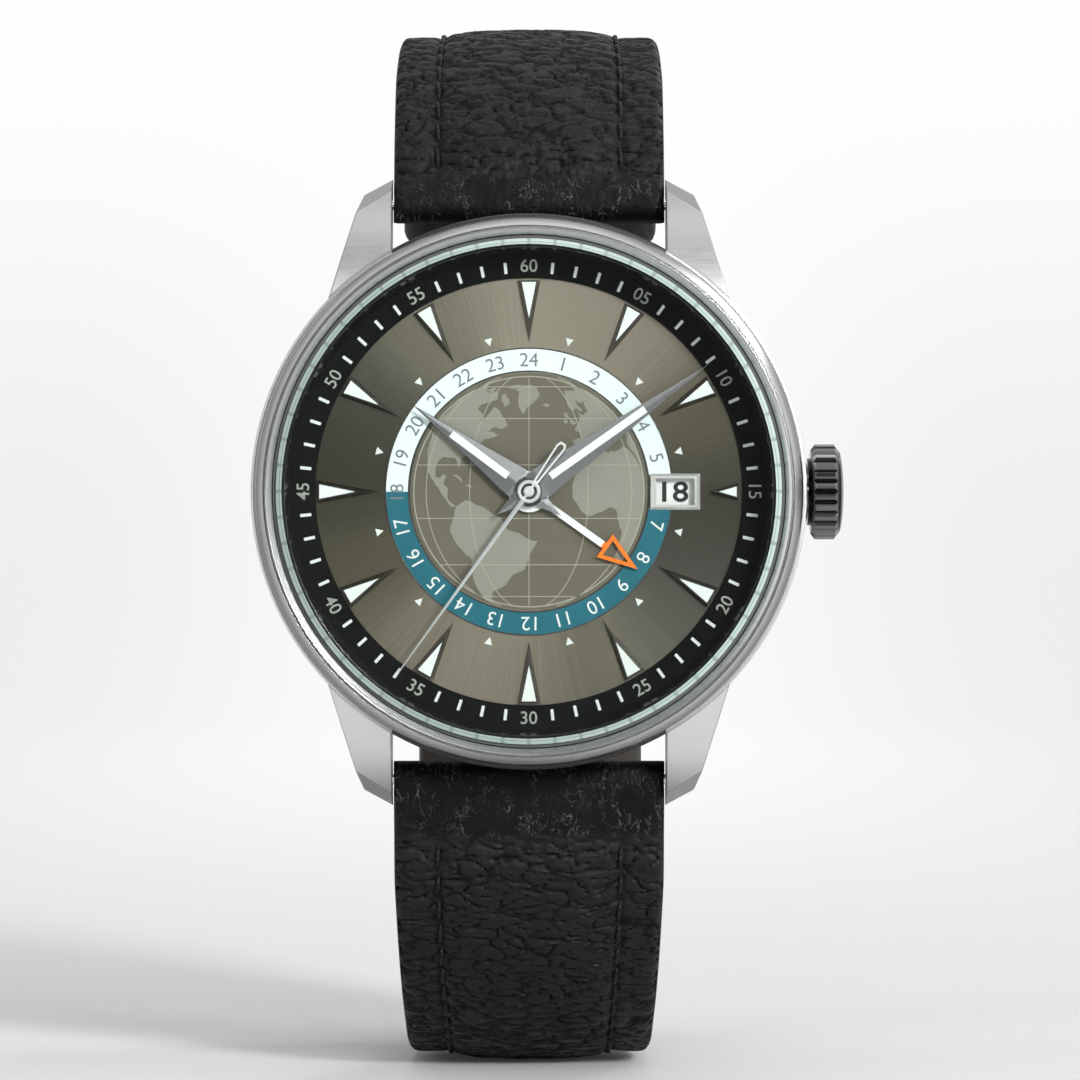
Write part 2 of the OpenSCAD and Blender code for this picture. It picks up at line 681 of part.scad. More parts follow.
// Luminous bar let into a hand, standing just proud of its ridge
module hand_bar(r_in, r_out, z) translate([-0.27, r_in, z + blade_t - 0.14]) cube([0.54, r_out - r_in, 0.16]);

hour_lume_out = 7.0;
minute_lume_out = 10.3;
lume_in = 1.9;
seconds_r = 0.1;
gmt_tube = 0.8;
hour_tube = 0.5;
tube_wall = 0.22;
cannon_r = 0.45;

module gmt_hand() color("white") upright() rotate(-gmt_turn) translate([0, 0, gmt_z]) difference() {
    union() {
        disc(1.5, 0, 0.15);
        translate([-0.25, 0, 0]) cube([0.5, gmt_len - 2.85, 0.15]);
        linear_extrude(0.15) difference() {
            polygon([[0, gmt_len], [-1.02, gmt_len - 2.94], [1.02, gmt_len - 2.94]]);
            polygon([[0, gmt_len - 0.83], [-0.63, gmt_len - 2.66], [0.63, gmt_len - 2.66]]);
        }
    }
    disc(gmt_tube + tube_wall, -1, 1);
}

module hour_hand() color("gray") upright() rotate(-hour_turn) difference() {
    faceted_hand(hour_len, hour_z, hour_tube + tube_wall, 1.1);
    hand_bar(lume_in - 0.01, hour_lume_out + 0.01, hour_z);
}
module hour_hand_lume() color("white") upright() rotate(-hour_turn)
    hand_bar(lume_in, hour_lume_out, hour_z + 0.01);

module minute_hand() color("gray") upright() rotate(-minute_turn) difference() {
    faceted_hand(minute_len, minute_z, cannon_r, 0.95);
    hand_bar(lume_in - 0.01, minute_lume_out + 0.01, minute_z);
}
module minute_hand_lume() color("white") upright() rotate(-minute_turn)
    hand_bar(lume_in, minute_lume_out, minute_z + 0.01);

// Ridged blade of the seconds hand, from its ring to its tip
module seconds_blade(r_in, w_in, w_out)
    polyhedron(
        points = [[-w_in, r_in, 0], [w_in, r_in, 0], [w_out, seconds_len, 0], [-w_out, seconds_len, 0],
            [0, r_in, 0.16], [0, seconds_len, 0.07]],
        faces = [[0, 1, 2, 3], [0, 3, 5], [0, 5, 4], [1, 4, 5], [1, 5, 2], [0, 4, 1], [2, 5, 3]]);

// Slim seconds hand with a bevelled ring at its boss and an open loop for its counterweight
module seconds_hand() color(polished) upright() rotate(-seconds_turn) translate([0, 0, seconds_z])
    difference() {
        union() {
            rotate_extrude() polygon([[0, -0.1], [0.38, -0.1], [0.38, 0.17], [0.29, 0.26], [0.2, 0.26],
                [0.13, 0.19], [0, 0.19]]);
            rotate_extrude() polygon([[0.58, 0], [0.84, 0], [0.84, 0.06], [0.75, 0.15], [0.67, 0.15],
                [0.58, 0.06]]);
            seconds_blade(0.7, 0.17, 0.05);
            linear_extrude(0.12) {
                for (side = [-1, 1]) translate([-0.1, side * 0.5 - 0.2]) square([0.2, 0.4]);
                difference() {
                    polygon([[-0.18, -0.7], [0.18, -0.7], [0.36, -3.95], [0.22, -4.3], [-0.22, -4.3],
                        [-0.36, -3.95]]);
                    polygon([[-0.05, -0.95], [0.05, -0.95], [0.22, -3.9], [0.12, -4.14], [-0.12, -4.14],
                        [-0.22, -3.9]]);
                }
            }
        }
        disc(seconds_r, -1, 0.1);
    }

// MOVEMENT

module mainplate() color(nickel) upright() difference() {
    union() {
        disc(movement_r, plate_z, dial_z);
        tube(movement_r, movement_r - plate_rim, bridge_under, plate_z + eps);
        for (p = pillar_at) at(p) disc(1.2, bridge_under, plate_z + eps);
        at(lever_at) disc(0.25, lever_z - 0.05, plate_z + 0.1);
    }
    // bores for the arbors
    disc(0.5, plate_z - 1, dial_z + 1);
    for (p = [third_at, escape_at, pallet_at, balance_at]) at(p)
        disc(jewel_r, plate_z - 1, plate_z + 0.35);
    at(barrel_at) disc(0.75 + run_gap, plate_z - 1, plate_z + 0.4);
    // recess for the motion work, the date wheel and the date ring on the dial side
    at([0.3, -0.5]) disc(4.6, motion_z - 0.05, dial_z + 1);
    at(date_at) disc(4.15, hour_wheel_z - 0.05, dial_z + 1);
    at(motion_at) disc(pivot_r + run_gap, plate_z + 0.1, dial_z);
    at(date_at) disc(pivot_r + run_gap, plate_z + 0.4, dial_z);
    for (p = screw_at) at(p) disc(screw_shaft_r, bridge_under - 1, bridge_under + screw_depth);
    tube(date_ring_out + 0.08, date_ring_in - 0.6, date_z - 0.05, dial_z + 1);
    // channel for the stem and its pinions
    along_x(4.95) cylinder(r = pilot_r + run_gap, h = 2);
    translate([6.3, -0.82, plate_z - 2]) cube([3.5, 1.64, 3.12]);
    along_x(9.6) cylinder(r = stem_r + run_gap, h = 5);
    translate([stem_groove_x - 0.4, -0.4, plate_z - 1]) cube([1.5, 0.6, 1.3]);
}

screw_ring = movement_r - 0.42;
pillar_at = [[8.4, -6.6], [-3.2, -9.6]];
screw_at = [polar(screw_ring, 98), polar(screw_ring, -14), pillar_at[0], pillar_at[1],
    polar(screw_ring, 196), polar(screw_ring, balance_turn)];
screw_shaft_r = 0.28;
screw_head_r = 0.42;
screw_depth = 0.8;
foot_ring = 9.4;
foot_at = [for (a = [22, 103, 262]) polar(foot_ring, a)];
foot_reach = bridge_under - 0.1;

module screw_holes() {
    for (p = screw_at) at(p) disc(screw_shaft_r + seat_gap, 0, 5);
    for (p = foot_at) at(p) disc(screw_shaft_r + seat_gap, bridge_z - 1, foot_reach);
}

module barrel_bridge() color(nickel) upright() difference() {
    slab(bridge_z, bridge_under) difference() {
        sector(movement_r, -20, 108);
        circle(r = 2.2);
        translate(crown_wheel_at) circle(r = skirt_r + 0.1);
    }
    at(barrel_at) disc(0.5 + run_gap, 0, 5);
    screw_holes();
}

module train_bridge() color(nickel) upright() difference() {
    slab(bridge_z, bridge_under) difference() {
        union() {
            sector(movement_r, 188, 338);
            circle(r = 2.0);
            sector(6.3, 150, 200);
        }
        translate(balance_at) circle(r = 3.45);
    }
    for (p = [[0, 0], third_at, escape_at, pallet_at]) at(p) disc(jewel_r, 0, 5);
    at(reverser_at) disc(pivot_r + run_gap, 0, 5);
    screw_holes();
}

module balance_cock() color(nickel) upright() difference() {
    union() {
        slab(bridge_z - 0.4, bridge_z + 0.2) intersection() {
            union() {
                rotate(balance_turn) translate([balance_dist, -1.7]) square([9, 3.4]);
                translate(balance_at) circle(r = 1.7);
            }
            circle(r = movement_r);
        }
        slab(bridge_z, bridge_under) intersection() {
            rotate(balance_turn) translate([movement_r - 1.5, -1.7]) square([3, 3.4]);
            difference() {
                circle(r = movement_r);
                translate(balance_at) circle(r = balance_d / 2 + 0.25);
            }
        }
    }
    at(balance_at) disc(jewel_r, 0, 5);
    screw_holes();
}

module auto_outline() {
    circle(r = 3.6);
    for (p = foot_at) rotate(atan2(p[1], p[0])) translate([0, -1.5]) square([norm(p), 3]);
    for (p = foot_at) translate(p) circle(r = 1.4);
    sector(10.2, 205, 300);
    translate(crown_wheel_at) circle(r = 1.4);
}

// Bridge of the self-winding work, with its feet and the stud of the crown wheel
module automatic_bridge() color(nickel) upright() difference() {
    union() {
        for (p = foot_at) at(p) disc(0.62, auto_z + auto_t - eps, bridge_z);
        at(crown_wheel_at) disc(0.3, auto_z + auto_t - eps, top_wheels_z + top_wheels_t - 0.05);
        slab(auto_z, auto_z + auto_t) auto_outline();
    }
    disc(bearing_r, 0, 5);
    at(reverser_at) disc(pivot_r + run_gap, 0, 5);
    for (p = foot_at) at(p) disc(screw_head_r + seat_gap, 0, auto_z + 0.27);
    for (p = foot_at) at(p) disc(screw_shaft_r, 0, 5);
}

rotor_hub = 1.25;
bearing_r = 1.9;
module rotor_bearing() color(steel) upright()
    tube(bearing_r, rotor_hub + run_gap, auto_z, auto_z + auto_t);

// Half disc rotor with a heavy rim, hanging toward six o'clock
module rotor() color(steel) upright() {
    slab(rotor_z, rotor_z + rotor_t) {
        circle(r = 2.6);
        difference() {
            sector(rotor_r, 182, 358);
            for (i = [0:4]) rotate(210 + 30 * i) translate([6.2, 0]) circle(r = 1.0);
        }
    }
    slab(rotor_z + 0.1, rotor_z + rotor_rim_t) difference() {
        sector(rotor_r, 184, 356);
        circle(r = rotor_r - 1.5);
    }
    disc(rotor_hub, rotor_z, rotor_gear_z + rotor_gear_t);
    pinion(rotor_teeth, rotor_mod, rotor_gear_z, rotor_gear_z + rotor_gear_t);
}

module reverser_wheel() color(brass) upright() at(reverser_at) {
    wheel(reverser_teeth, rotor_mod, rotor_gear_z, rotor_gear_z + rotor_gear_t,
        mesh_turn(0, rotor_teeth, reverser_turn, reverser_teeth), 0.8, 0, 5);
    disc(pivot_r, auto_z + 0.1, bridge_z + 0.3);
    disc(arbor_r, auto_z + auto_t + 0.03, bridge_z - 0.03);
    pinion(10, rotor_mod, rotor_gear_z + 0.1, top_wheels_z + top_wheels_t);
}

drum_r = 4.6;
// Toothed drum and the lid that closes it
module barrel() color(brass) upright() at(barrel_at) {
    difference() {
        union() {
            disc(drum_r, drum_z, drum_z + drum_t);
            slab(great_z, great_z + 0.2) gear_outline(great_teeth, great_mod, barrel_turn);
        }
        disc(drum_r - 0.2, drum_z - 1, drum_z + drum_t - 0.12);
        disc(0.75 + run_gap, drum_z - 1, drum_z + 2);
    }
    difference() {
        disc(drum_r - 0.21, drum_z + 0.02, drum_z + 0.12);
        disc(0.75 + run_gap, drum_z - 1, drum_z + 2);
    }
}

// Flat spiral strip from r0 to r1, as an outline
module spiral_strip(r0, r1, turns, w, steps = 30) {
    n = ceil(turns * steps);
    function r_at(i) = r0 + (r1 - r0) * i / n;
    polygon(concat(
        [for (i = [0:n]) polar(r_at(i) - w / 2, 360 * i / steps)],
        [for (i = [n:-1:0]) polar(r_at(i) + w / 2, 360 * i / steps)]));
}

module mainspring() color("lightsteelblue") upright() at(barrel_at)
    slab(drum_z + 0.16, drum_z + drum_t - 0.16) spiral_strip(1.15, drum_r - 0.26, 7, 0.12);

module ratchet_wheel() color(steel) upright() at(barrel_at) {
    slab(top_wheels_z, top_wheels_z + top_wheels_t)
        gear_outline(ratchet_teeth, ratchet_mod, ratchet_turn);
    disc(0.5, top_wheels_z + 0.1, drum_z + 0.3);
    disc(0.75, drum_z + 0.01, plate_z + 0.35);
}

module crown_wheel() color(steel) upright() at(crown_wheel_at) difference() {
    union() {
        slab(top_wheels_z, top_wheels_z + top_wheels_t) gear_outline(crown_wheel_teeth, ratchet_mod,
            mesh_turn(ratchet_turn, ratchet_teeth, ratchet_turn, crown_wheel_teeth));
        disc(skirt_r, top_wheels_z + 0.1, stem_z - 0.71);
    }
    disc(skirt_r - 0.4, top_wheels_z + top_wheels_t, stem_z);
    disc(0.3 + run_gap, 0, stem_z);
    for (i = [0:41]) rotate(360 / 42 * i) translate([1.6, -0.08, stem_z - 0.85]) cube([1, 0.16, 1]);
}

module centre_wheel() color(brass) upright() {
    wheel(centre_teeth, centre_mod, centre_z, centre_z + wheel_t, third_turn, 1.0, 0.3 + run_gap);
    difference() {
        union() {
            pinion(centre_pinion_teeth, great_mod, great_z - 0.1, centre_z + 0.01,
                mesh_turn(barrel_turn, great_teeth, barrel_turn + 180, centre_pinion_teeth));
            disc(0.44, centre_z, motion_z - 0.02);
            disc(0.3, centre_z, motion_z + 0.2);
        }
        disc(seconds_r + seat_gap, 0, 20);
    }
}

module third_wheel() color(brass) upright() at(third_at) {
    wheel(third_teeth, third_mod, third_z, third_z + wheel_t, third_turn + 180, 0.5);
    pinion(third_pinion_teeth, centre_mod, centre_z - 0.1, centre_z + wheel_t + 0.03,
        mesh_turn(third_turn, centre_teeth, third_turn, third_pinion_teeth));
    disc(0.3, third_z, centre_z);
    arbor(bridge_z + 0.25, plate_z + 0.25, 0.35);
}

// Fourth wheel, whose long arbor carries the seconds hand through the centre
module fourth_wheel() color(brass) upright() {
    wheel(fourth_teeth, fourth_mod, fourth_z, fourth_z + wheel_t, escape_turn, 0.5);
    pinion(fourth_pinion_teeth, third_mod, fourth_z + wheel_t - eps, third_z + 0.22,
        mesh_turn(third_turn + 180, third_teeth, third_turn + 180, fourth_pinion_teeth));
    disc(pivot_r, bridge_z + 0.25, fourth_z + 0.1);
    disc(seconds_r, fourth_z, seconds_z + 0.1);
}

// Ratchet shaped escape teeth
module escape_outline() {
    step = 360 / escape_teeth;
    difference() {
        polygon([for (i = [0:escape_teeth - 1]) each [polar(1.12, step * i), polar(1.48, step * (i + 0.25)),
            polar(1.45, step * (i + 0.42)), polar(1.12, step * (i + 0.6))]]);
        circle(r = 0.85);
    }
    circle(r = 0.4);
    for (i = [0:3]) rotate(90 * i) translate([0, -0.09]) square([1.0, 0.18]);
}

module escape_wheel() color(steel) upright() at(escape_at) {
    slab(escape_z, escape_z + 0.12) escape_outline();
    pinion(escape_pinion_teeth, fourth_mod, fourth_z - 0.05, fourth_z + 0.25,
        mesh_turn(escape_turn, fourth_teeth, escape_turn, escape_pinion_teeth));
    disc(arbor_r, fourth_z + 0.2, escape_z + 0.1);
    disc(pivot_r, bridge_z + 0.25, plate_z + 0.25);
}

// Pallet fork: two arms toward the escape wheel and a fork toward the balance
module pallet_fork() color(steel) upright() at(pallet_at) rotate(lever_turn) {
    slab(escape_z, escape_z + 0.14) difference() {
        union() {
            circle(r = 0.32);
            translate([0, -0.13]) square([2.9, 0.26]);
            translate([2.75, -0.42]) square([0.6, 0.84]);
            for (s = [-1, 1]) rotate(s * 118) translate([0, -0.14]) square([1.25, 0.28]);
        }
        translate([2.95, -0.13]) square([1, 0.26]);
    }
    disc(pivot_r, bridge_z + 0.25, plate_z + 0.25);
}

module balance_wheel() color(brass) upright() at(balance_at) {
    tube(balance_d / 2, balance_d / 2 - 0.42, balance_z, balance_z + 0.4);
    slab(balance_z + 0.1, balance_z + 0.28) {
        circle(r = 0.7);
        for (i = [0:2]) rotate(120 * i + 90) translate([0, -0.2]) square([balance_d / 2 - 0.2, 0.4]);
    }
    disc(0.2, bridge_z + 0.3, plate_z - 0.05);
    disc(pivot_r, bridge_z - 0.15, plate_z + 0.25);
    disc(0.8, escape_z - 0.18, escape_z - 0.05);
    disc(collet_r, bridge_z + 0.36, bridge_z + 0.5);
    rotate(lever_turn) at([-0.62, 0]) disc(0.08, escape_z - 0.1, escape_z + 0.12);
}

collet_r = 0.35;
module hairspring() color("steelblue") upright() at(balance_at) {
    slab(bridge_z + 0.36, bridge_z + 0.5) spiral_strip(collet_r + 0.07, 2.8, 4.5, 0.07);
    rotate(180) at([2.8, 0]) disc(0.12, bridge_z + 0.2, bridge_z + 0.5);
}

module cannon_pinion() color(steel) upright() difference() {
    union() {
        pinion(cannon_teeth, cannon_mod, motion_z, motion_z + 0.2, motion_turn);
        disc(cannon_r, motion_z, minute_z + 0.12);
    }
    disc(seconds_r + 0.08, 0, 20);
    disc(0.3, 0, motion_z + 0.22);
}

module minute_wheel() color(brass) upright() at(motion_at) {
    wheel(minute_teeth, cannon_mod, motion_z, motion_z + 0.18,
        mesh_turn(motion_turn, cannon_teeth, motion_turn, minute_teeth), 0.6, 0, 3);
    pinion(minute_pinion_teeth, hour_mod, motion_z + 0.1, hour_wheel_z + 0.16);
    pinion(gmt_pinion_teeth, gmt_mod, hour_wheel_z + 0.1, gmt_wheel_z + 0.14);
    disc(pivot_r, motion_z - 0.3, motion_z + 0.1);
}

hour_first = mesh_turn(0, minute_pinion_teeth, motion_turn + 180, hour_teeth);
module hour_wheel() color(brass) upright() difference() {
    union() {
        pinion(hour_teeth, hour_mod, hour_wheel_z, hour_wheel_z + wheel_t, hour_first);
        disc(hour_tube + tube_wall, hour_wheel_z, hour_z + 0.12);
    }
    disc(hour_tube - 0.02, 0, 20);
}

module gmt_wheel() color(brass) upright() difference() {
    union() {
        pinion(gmt_teeth, gmt_mod, gmt_wheel_z, gmt_wheel_z + wheel_t,
            mesh_turn(0, gmt_pinion_teeth, motion_turn + 180, gmt_teeth));
        disc(gmt_tube + tube_wall, gmt_wheel_z, gmt_z + 0.12);
    }
    disc(gmt_tube - 0.04, 0, 20);
}

module date_ring() color("white") upright() slab(date_z, date_z + date_t) difference() {
    circle(r = date_ring_out);
    polygon([for (i = [0:date_teeth - 1]) each [
        polar(date_ring_in, 360 / date_teeth * (i + 0.1)), polar(date_ring_in, 360 / date_teeth * (i + 0.7)),
        polar(date_ring_in - 0.4, 360 / date_teeth * (i + 0.85)),
        polar(date_ring_in - 0.4, 360 / date_teeth * (i + 0.95))]]);
}

// Twenty-four hour wheel with the finger that moves the date on
module date_wheel() color(brass) upright() at(date_at) {
    wheel(date_wheel_teeth, hour_mod, hour_wheel_z, hour_wheel_z + wheel_t,
        mesh_turn(hour_first, hour_teeth, date_turn, date_wheel_teeth), 0.7, 0, 5);
    rotate(date_turn + 150) at([2.9, 0]) disc(0.22, hour_wheel_z, date_z + 0.2);
    rotate(date_turn + 150) translate([0, -0.25, hour_wheel_z]) cube([3, 0.5, wheel_t]);
    disc(pivot_r, hour_wheel_z - 0.3, hour_wheel_z + 0.3);
}

// Slotted screw with its head's top at z, reaching down to a depth
module screw(z, reach) difference() {
    union() {
        disc(screw_head_r, z - 0.22, z);
        disc(screw_shaft_r, z - 0.1, reach);
    }
    translate([-1, -0.06, z - 0.3]) cube([2, 0.12, 0.18]);
}

module bridge_screws() color(steel) upright() {
    for (i = [0:4]) at(screw_at[i]) rotate(37 * i) screw(bridge_z, bridge_under + screw_depth);
    at(screw_at[5]) rotate(20) screw(bridge_z - 0.4, bridge_under + screw_depth);
    for (p = foot_at) at(p) rotate(65) screw(auto_z + 0.27, foot_reach);
}

// Pierced jewels in the bridges and the plate
module jewel(z) tube(jewel_r, pivot_r + run_gap, z, z + 0.3);

module jewels() color("crimson") upright() {
    for (p = [[0, 0], third_at, escape_at, pallet_at]) at(p) jewel(bridge_z + 0.15);
    at(balance_at) jewel(bridge_z - 0.3);
    for (p = [third_at, escape_at, pallet_at, balance_at]) at(p) jewel(plate_z + 0.02);
}

// STRAP AND BUCKLE

// Place and heading after a run s along the legs, in (outward, height); the heading dips below outward
function path_at(legs, s, p, a, i = 0) =
    let (leg = legs[i], run = (i == len(legs) - 1 || s < leg[0]) ? s : leg[0])
    let (turn = leg[1] == 0 ? 0 : run / leg[1] * 180 / PI)
    let (q = leg[1] == 0 ? p + run * [cos(a), -sin(a)]
        : p + leg[1] * [sin(a + turn) - sin(a), cos(a + turn) - cos(a)])
    run == s ? [q, a + turn] : path_at(legs, s - run, q, a + turn, i + 1);

// Half section points of the strap: [distance across, height above the wrist side];
// the groove of the stitching runs out where the edge gets thin or the tip narrow
function strap_half(h, t, e) = let (k = min(1, h / 9), g = k < 0.5 ? 0 : max(0, min(0.12, 0.6 * (e - 1.9))))
    [[h, 0.3 * e], [h, 0.8 * e], [h - 0.4 * k, e], [h - 2.7 * k, e], [h - 3.2 * k, e - g],
        [h - 3.7 * k, e], [h - 5.2 * k, e + 0.7 * (t - e)], [h * 0.3, t]];
function strap_section(w, t, e) = let (half = strap_half(w / 2, t, e))
    concat([[w / 2 - 0.3 * min(1, w / 9), 0]], half,
        [for (i = [len(half) - 1:-1:0]) [-half[i][0], half[i][1]]], [[-w / 2 + 0.3 * min(1, w / 9), 0]]);

// One strap half from its runs, each [s, width, thickness, edge thickness]; side is 1 up and -1 down
module strap_body(legs, dive, side, runs) {
    k = len(strap_section(10, 2, 2));
    n = len(runs);
    points = [for (r = runs)
        let (place = path_at(legs, r[0], [bar_y, bar_z], dive), a = place[1])
        for (v = strap_section(r[1], r[2], r[3]))
            let (o = v[1] - r[2] / 2)
            [v[0], side * (place[0][0] + o * sin(a)), place[0][1] + o * cos(a)]];
    walls = [for (i = [0:n - 2], j = [0:k - 1]) let (j2 = (j + 1) % k)
        each [[i * k + j, (i + 1) * k + j, (i + 1) * k + j2], [i * k + j, (i + 1) * k + j2, i * k + j2]]];
    caps = [for (j = [1:k - 2]) each [[0, j, j + 1], [(n - 1) * k, (n - 1) * k + j + 1, (n - 1) * k + j]]];
    faces = concat(walls, caps);
    polyhedron(points = points, faces = side > 0 ? [for (f = faces) [f[2], f[1], f[0]]] : faces);
}

// Widths and thicknesses along the two halves
function width_up(s) = lookup(s,
    [[0, strap_w], [12, strap_w], [28, strap_w - 0.8], [50, tail_w], [80, tail_w]]);
function thick_up(s) = lookup(s, [[0, end_t], [6, pad_t], [22, pad_t - 0.4], [43, tail_t], [80, tail_t]]);
function width_down(s) = lookup(s, [[0, strap_w], [8, strap_w], [24, tail_w + 0.7], [36, tail_w + 0.3],
    [55, tail_w], [130, tail_w]]);
function thick_down(s) = lookup(s, [[0, end_t], [6, pad_t], [32, pad_t - 0.4], [70, tail_t], [130, tail_t]]);
edge_t = 2.2;
edge_drop = 0.6;
function edge_at(s, t) = min(t, lookup(s, [[0, end_t], [4, max(edge_t, t - edge_drop)]]));

// The fold round a bar: a half round end of thickness t
function fold_runs(s, sign, t, w) = [for (a = sign < 0 ? [12, 30, 55] : [55, 30, 12])
    [s + sign * t / 2 * cos(a), w, t * sin(a), t * sin(a)]];

runs_up = concat(fold_runs(0, -1, end_t, strap_w),
    [for (i = [0:26]) let (s = len_up * i / 26)
        [s, width_up(s), thick_up(s), edge_at(s, thick_up(s))]],
    fold_runs(len_up, 1, tail_t, tail_w));

tip_l = 9;
runs_down = concat(fold_runs(0, -1, end_t, strap_w),
    [for (i = [0:38]) let (s = (len_down - tip_l) * i / 38)
        [s, width_down(s), thick_down(s), edge_at(s, thick_down(s))]],
    [for (i = [1:6]) let (u = [0, 0.35, 0.62, 0.82, 0.94, 0.995, 1][i])
        [len_down - tip_l + tip_l * u, tail_w * max(0.12, sqrt(1 - u * u)), tail_t, tail_t]]);

module across(y, z, r, w) translate([-w / 2, y, z]) rotate([0, 90, 0]) cylinder(r = r, h = w);

module strap_upper() color(leather) upright() difference() {
    strap_body(legs_up, dive_up, 1, runs_up);
    across(bar_y, bar_z, bar_r + seat_gap, lug_gap + 4);
    across(buckle_at[0], buckle_at[1], buckle_bar_r + seat_gap, lug_gap + 4);
    translate([-tongue_w / 2 - 0.3, -3, -loop_depth - 3]) cube([tongue_w + 0.6, 4.6, 6]);
}

module strap_lower() color(leather) upright() difference() {
    strap_body(legs_down, dive_down, -1, runs_down);
    across(-bar_y, bar_z, bar_r + seat_gap, lug_gap + 4);
    // the hole that the tongue passes, drawn out by wear, and its neighbours
    for (i = [-3:3]) let (s = len_down - tail_run - flat_up + hole_mid + hole_pitch * i,
        place = path_at(legs_down, s, [bar_y, bar_z], dive_down))
        translate([0, -place[0][0], place[0][1]]) rotate([place[1] - 90, 0, 0]) rotate([-90, 0, 0])
            translate([0, 0, -3]) {
                cylinder(r = 0.95, h = 6);
                if (i == 0) translate([-0.95, -1.65, 0]) cube([1.9, 3.3, 6]);
            }
}

// Two spring bars in the lugs and the bar of the buckle
module spring_bars() color(steel) upright() {
    for (s = [-1, 1]) {
        across(s * bar_y, bar_z, bar_r, lug_gap - 0.3);
        across(s * bar_y, bar_z, bar_pin_r, lug_gap + 2 * lug_hole - 0.4);
    }
    across(buckle_at[0], buckle_at[1], buckle_bar_r, 2 * frame_half - 0.1);
    across(buckle_at[0], buckle_at[1], 0.45, 2 * (frame_half + arm_t) - 0.4);
}

// Side view of a buckle arm, from the bar to the cross bar
arm_r = 1.3;
module arm_outline() {
    d = (cross_at - buckle_at) / norm(cross_at - buckle_at);
    side = [d[1], -d[0]];
    translate(buckle_at) circle(r = arm_r);
    translate(cross_at) circle(r = cross_r);
    polygon([buckle_at + arm_r * side, cross_at + cross_r * side, cross_at - cross_r * side,
        buckle_at - arm_r * side]);
}

// Draw a side view (y, z) and make it w wide across the strap
module side_plate(w) translate([-w / 2, 0, 0]) rotate([90, 0, 90]) linear_extrude(w) children();

module buckle_frame() color(polished) upright() difference() {
    union() {
        for (s = [-1, 1]) translate([s * (frame_half + arm_t / 2), 0, 0]) side_plate(arm_t) arm_outline();
        across(cross_at[0], cross_at[1], cross_r, 2 * (frame_half + arm_t));
    }
    across(buckle_at[0], buckle_at[1], 0.45 + seat_gap, 40);
}

// Tongue: a ring on the bar, a steep neck through the strap's hole and a point on the cross bar
tongue_t = 0.8;
rest_z = cross_at[1] - cross_r - 0.02;
module buckle_tongue() color(polished) upright() side_plate(tongue_w) difference() {
    union() {
        translate(buckle_at) circle(r = 1.12);
        polygon([[-0.3, buckle_at[1] - 0.75], [-1.05, buckle_at[1] - 0.3],
            [-3.05, rest_z + 1.75], [-4.9, rest_z + 0.35], [-buckle_l + 1.3, rest_z],
            [-buckle_l - 1.0, rest_z],
            [-buckle_l - 1.15, rest_z - tongue_t * 0.6], [-buckle_l - 0.9, rest_z - tongue_t],
            [-4.7, rest_z - tongue_t * 0.7], [-2.45, rest_z + 1.05]]);
    }
    translate(buckle_at) circle(r = buckle_bar_r + run_gap);
}

// Leather loops that hold the free end of the strap down
keeper_in = tail_t / 2 + leather_gap;
keeper_out = layer_step + tail_t / 2 + leather_gap;
keeper_half = tail_w / 2 + leather_gap + 0.05;
module fixed_keeper() color(leather) upright()
    translate([0, flat_up - keeper_w - 0.3, -loop_depth]) rotate([-90, 0, 0]) linear_extrude(keeper_w)
        difference() {
            translate([-keeper_half - keeper_t, -keeper_in - keeper_t])
                square([2 * (keeper_half + keeper_t), keeper_in + keeper_out + 2 * keeper_t]);
            translate([-keeper_half, -keeper_in]) square([2 * keeper_half, keeper_in + keeper_out]);
        }

keeper_turn = 34;
keeper_angle = keeper_w / back_r_up * 180 / PI;
module free_keeper() color(leather) upright()
    translate([0, rear_bend_at[0], rear_bend_at[1]]) rotate([0, 90, 0]) rotate([0, 0, keeper_turn])
        rotate_extrude(angle = keeper_angle) difference() {
            translate([back_r_up - keeper_in - keeper_t, -keeper_half - keeper_t])
                square([keeper_in + keeper_out + 2 * keeper_t, 2 * (keeper_half + keeper_t)]);
            translate([back_r_up - keeper_in, -keeper_half])
                square([keeper_in + keeper_out, 2 * keeper_half]);
        }

mid_case();
bezel();
crystal();
crystal_gasket();
case_back();
back_crystal();
back_gasket();
movement_ring();
crown_tube();
crown();
crown_gasket();
winding_stem();
dial();
chapter_ring();
hour_markers();
marker_lume();
date_frame();
gmt_hand();
hour_hand();
hour_hand_lume();
minute_hand();
minute_hand_lume();
seconds_hand();
mainplate();
barrel_bridge();
train_bridge();
balance_cock();
automatic_bridge();
rotor();
rotor_bearing();
reverser_wheel();
barrel();
mainspring();
ratchet_wheel();
crown_wheel();
centre_wheel();
third_wheel();
fourth_wheel();
escape_wheel();
pallet_fork();
balance_wheel();
hairspring();
cannon_pinion();
minute_wheel();
hour_wheel();
gmt_wheel();
date_ring();
date_wheel();
winding_pinion();
sliding_pinion();
setting_lever();
bridge_screws();
jewels();
strap_upper();
strap_lower();
spring_bars();
buckle_frame();
buckle_tongue();
fixed_keeper();
free_keeper();
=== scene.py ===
import math

import bmesh
import bpy
from mathutils import Matrix, Vector, noise


